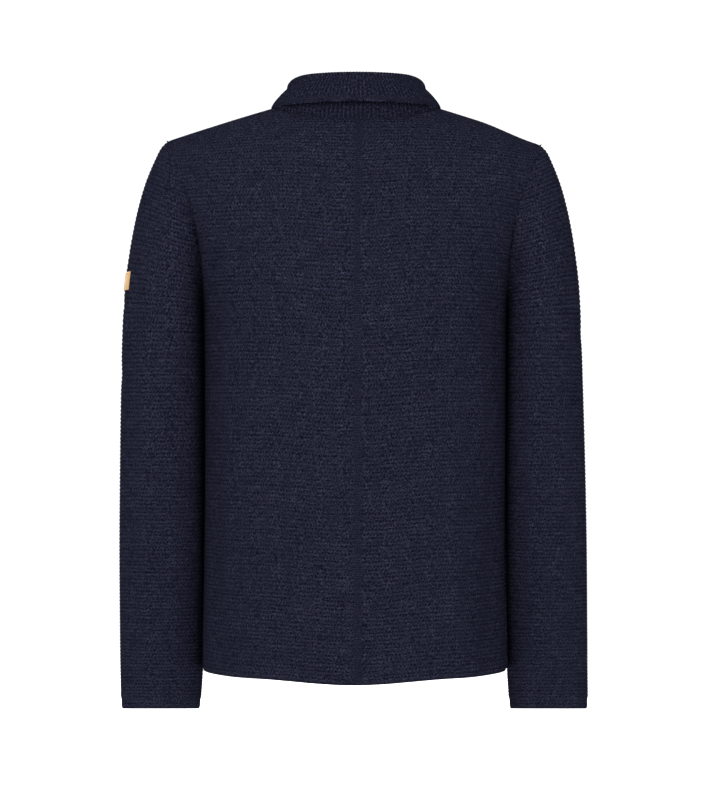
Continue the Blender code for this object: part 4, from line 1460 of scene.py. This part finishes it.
def model_button_thread():
    """Two rings of thread that pass through the holes and down into the cloth."""
    rings = []
    for y in (-HOLE_OUT, HOLE_OUT):
        bpy.ops.mesh.primitive_torus_add(
            major_radius=HOLE_OUT,
            minor_radius=THREAD_RADIUS,
            major_segments=32,
            minor_segments=10,
            location=(0, y, BUTTON_THICKNESS / 2 - BUTTON_DISH - THREAD_DEPTH / 2 - THREAD_RADIUS),
            rotation=(math.pi / 2, 0, 0),
        )
        ring = bpy.context.object
        ring.scale[1] = (THREAD_DEPTH + 2 * THREAD_RADIUS) / HOLE_OUT
        rings.append(ring)
    bpy.ops.object.select_all(action="DESELECT")
    for ring in rings:
        ring.select_set(True)
    bpy.context.view_layer.objects.active = rings[0]
    bpy.ops.object.join()
    thread = bpy.context.object
    bpy.ops.object.transform_apply()
    bpy.ops.object.shade_smooth()
    return thread


def place_on_front(model, name, z):
    """A copy of a model, turned to face forwards and moved to the left front's cloth."""
    copy = bpy.data.objects.new(name, model.data.copy())
    bpy.context.scene.collection.objects.link(copy)
    heights = (z - BUTTON_RADIUS, z, z + BUTTON_RADIUS)
    below, middle, above = (float(form_depth(0.0, height, "front")) for height in heights)
    tilt = math.atan2(below - above, 2 * BUTTON_RADIUS)
    proud = max(middle, (below + above) / 2) + BUTTON_SEAT
    half = BUTTON_THICKNESS / 2
    copy.rotation_euler = (math.pi / 2 - tilt, 0, 0)
    copy.location = (0, -proud - half * math.cos(tilt), z + half * math.sin(tilt))
    select_only(copy)
    bpy.ops.object.transform_apply()
    return copy


def horn_finish(name):
    """Polished horn: faint paler streaks through the dark, a satin gloss and fine scratches."""
    horn = Finish(name, HORN, Roughness=0.45, Specular_IOR_Level=0.12)
    solid = horn.solid()
    clouds = horn.noise(solid, 160, 3.0, 0.6)
    scratches = horn.noise(solid, 2200, 2.0)
    horn.colour(horn.mix(((clouds - 0.5) * 3.5).held(), (*HORN, 1), (*HORN_PALE, 1)))
    horn.put(horn.shader, "Roughness", 0.38 + clouds * 0.1 + scratches * 0.08)
    horn.bump(clouds * 0.6 + scratches * 0.1, 0.1 * MM, 0.5)
    return horn.material


horn = horn_finish("navy horn")
navy_thread = thread_finish("navy thread", RIB_NAVY, NAVY_DARK_AND_SHADE)
button_model, thread_model = model_button(), model_button_thread()
button_model.data.materials.append(horn)
thread_model.data.materials.append(navy_thread)
for number in range(BUTTON_COUNT):
    z = BUTTON_TOP_Z - number * BUTTON_PITCH
    button = place_on_front(button_model, f"button_{number + 1}_horn", z)
    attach(button, "root")
    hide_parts(f"button_{number + 1}")
    thread = place_on_front(thread_model, f"button_{number + 1}_thread", z)
    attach(thread, "root")
bpy.data.objects.remove(button_model)
bpy.data.objects.remove(thread_model)


def add_buttonhole(name, z, finish):
    """A level slit bound with thread, laid on the left front."""
    first, last = BUTTONHOLE
    turns = np.linspace(-math.pi / 2, math.pi / 2, BUTTONHOLE_ROUND_STEPS + 1)
    sides = np.linspace(0, 1, BUTTONHOLE_SIDE_STEPS + 1)[1:-1]
    there, back = last + (first - last) * sides, first + (last - first) * sides
    core_x = np.concatenate([0 * turns + last, there, 0 * turns + first, back])
    out_x = np.concatenate([np.cos(turns), 0 * sides, -np.cos(turns), 0 * sides])
    out_z = np.concatenate([np.sin(turns), 0 * sides + 1, -np.sin(turns), 0 * sides - 1])
    rings, places = [], []
    for out, height in BUTTONHOLE_SECTION:
        x, up = core_x + out_x * out * MM, z + out_z * out * MM
        rings.append(np.stack([x, -form_depth(x, up, "front") - height * MM, up], axis=1))
        places.append(np.stack([core_x / MM + np.arctan2(out_z, out_x), 0 * x + out], axis=1))
    faces = closed_tube(len(rings), len(core_x))
    return add_cloth(name, as_hung(np.concatenate(rings)), faces, np.concatenate(places), finish)


def buttonhole_finish(name):
    """Close radial stitches of navy thread around a slit, with painted shade in the slit and
    between stitches.
    """
    thread = Finish(name, RIB_NAVY, Roughness=0.75, Specular_IOR_Level=0.15)
    round_slit, out = thread.counts()
    stitch = (round_slit * 1.25 + (thread.noise(thread.solid(), 500) - 0.5) * 0.3).wave()
    # Painted shade: the binding is mixed towards the darkest navy along the slit
    slit = (1.6 - out * 3.0).held()
    thread.bump(stitch, 0.25 * MM, 0.8)
    # Painted light and shade: paler on the stitches' crests, darker between them
    ground = thread.mix((0.35 - stitch * 0.35).held(), (*NAVY_PALE, 1), (*RIB_NAVY, 1))
    thread.colour(thread.mix(slit, ground, (*NAVY_DARK_AND_SHADE, 1)))
    return thread.material


bound = buttonhole_finish("navy buttonhole thread")
for number in range(BUTTON_COUNT):
    hole = add_buttonhole(f"buttonhole_{number + 1}", BUTTON_TOP_Z - number * BUTTON_PITCH, bound)


# --- The studio ---
# A plain pale floor far below the jacket, a white surround and large soft lamps. The camera looks
# level at the back from 2.8 m, as in the photograph.

PHOTO_HEIGHT = 806
PHOTO_SCALE = 1.18 * MM
CAMERA_DISTANCE = 2.8
CAMERA_X = 3 * PHOTO_SCALE
CAMERA_Z = -0.3422
FLOOR_Z = -1.05
FLOOR_RADIUS = 60
FLOOR_WHITE = (0.97, 0.97, 0.97)
SURROUND_STRENGTH = 1.1
LAMPS = [
    # (name, place, size, watts), all turned to the middle of the jacket
    ("key", (1.2, 2.5, 0.9), 1.6, 94),
    ("fill", (-1.5, 2.4, 0.3), 2.0, 42),
    ("front", (0.5, -2.8, 0.9), 2.6, 130),
    ("top", (0.0, 0.3, 2.4), 2.0, 30),
]

bpy.ops.object.select_all(action="DESELECT")
bpy.ops.mesh.primitive_circle_add(
    vertices=96, radius=FLOOR_RADIUS, fill_type="NGON", location=(0, 0, FLOOR_Z)
)
floor = bpy.context.object
floor.name = "floor"
paper = Finish("pale floor", FLOOR_WHITE, Roughness=0.9)
paper.colour((*FLOOR_WHITE, 1))
floor.data.materials.append(paper.material)

world = bpy.data.worlds.new("studio")
world.use_nodes = True
surround = world.node_tree.nodes["Background"]
surround.inputs["Color"].default_value = (1, 1, 1, 1)
surround.inputs["Strength"].default_value = SURROUND_STRENGTH
bpy.context.scene.world = world

for name, place, size, watts in LAMPS:
    bpy.ops.object.light_add(type="AREA", location=place)
    lamp = bpy.context.object
    lamp.name = f"{name} lamp"
    lamp.data.size = size
    lamp.data.energy = watts
    aim = np.array([0, 0, CAMERA_Z]) - np.array(place)
    lamp.rotation_euler = (
        math.atan2(math.hypot(aim[0], aim[1]), -aim[2]),
        0,
        math.atan2(aim[0], -aim[1]) + math.pi,
    )

bpy.ops.object.camera_add(location=(CAMERA_X, CAMERA_DISTANCE, CAMERA_Z))
camera = bpy.context.object
camera.rotation_euler = (math.pi / 2, 0, math.pi)
camera.data.lens = camera.data.sensor_width * CAMERA_DISTANCE / (PHOTO_HEIGHT * PHOTO_SCALE)
camera.data.clip_start = 0.1
bpy.context.scene.camera = camera
bpy.context.scene.view_settings.view_transform = "Standard"
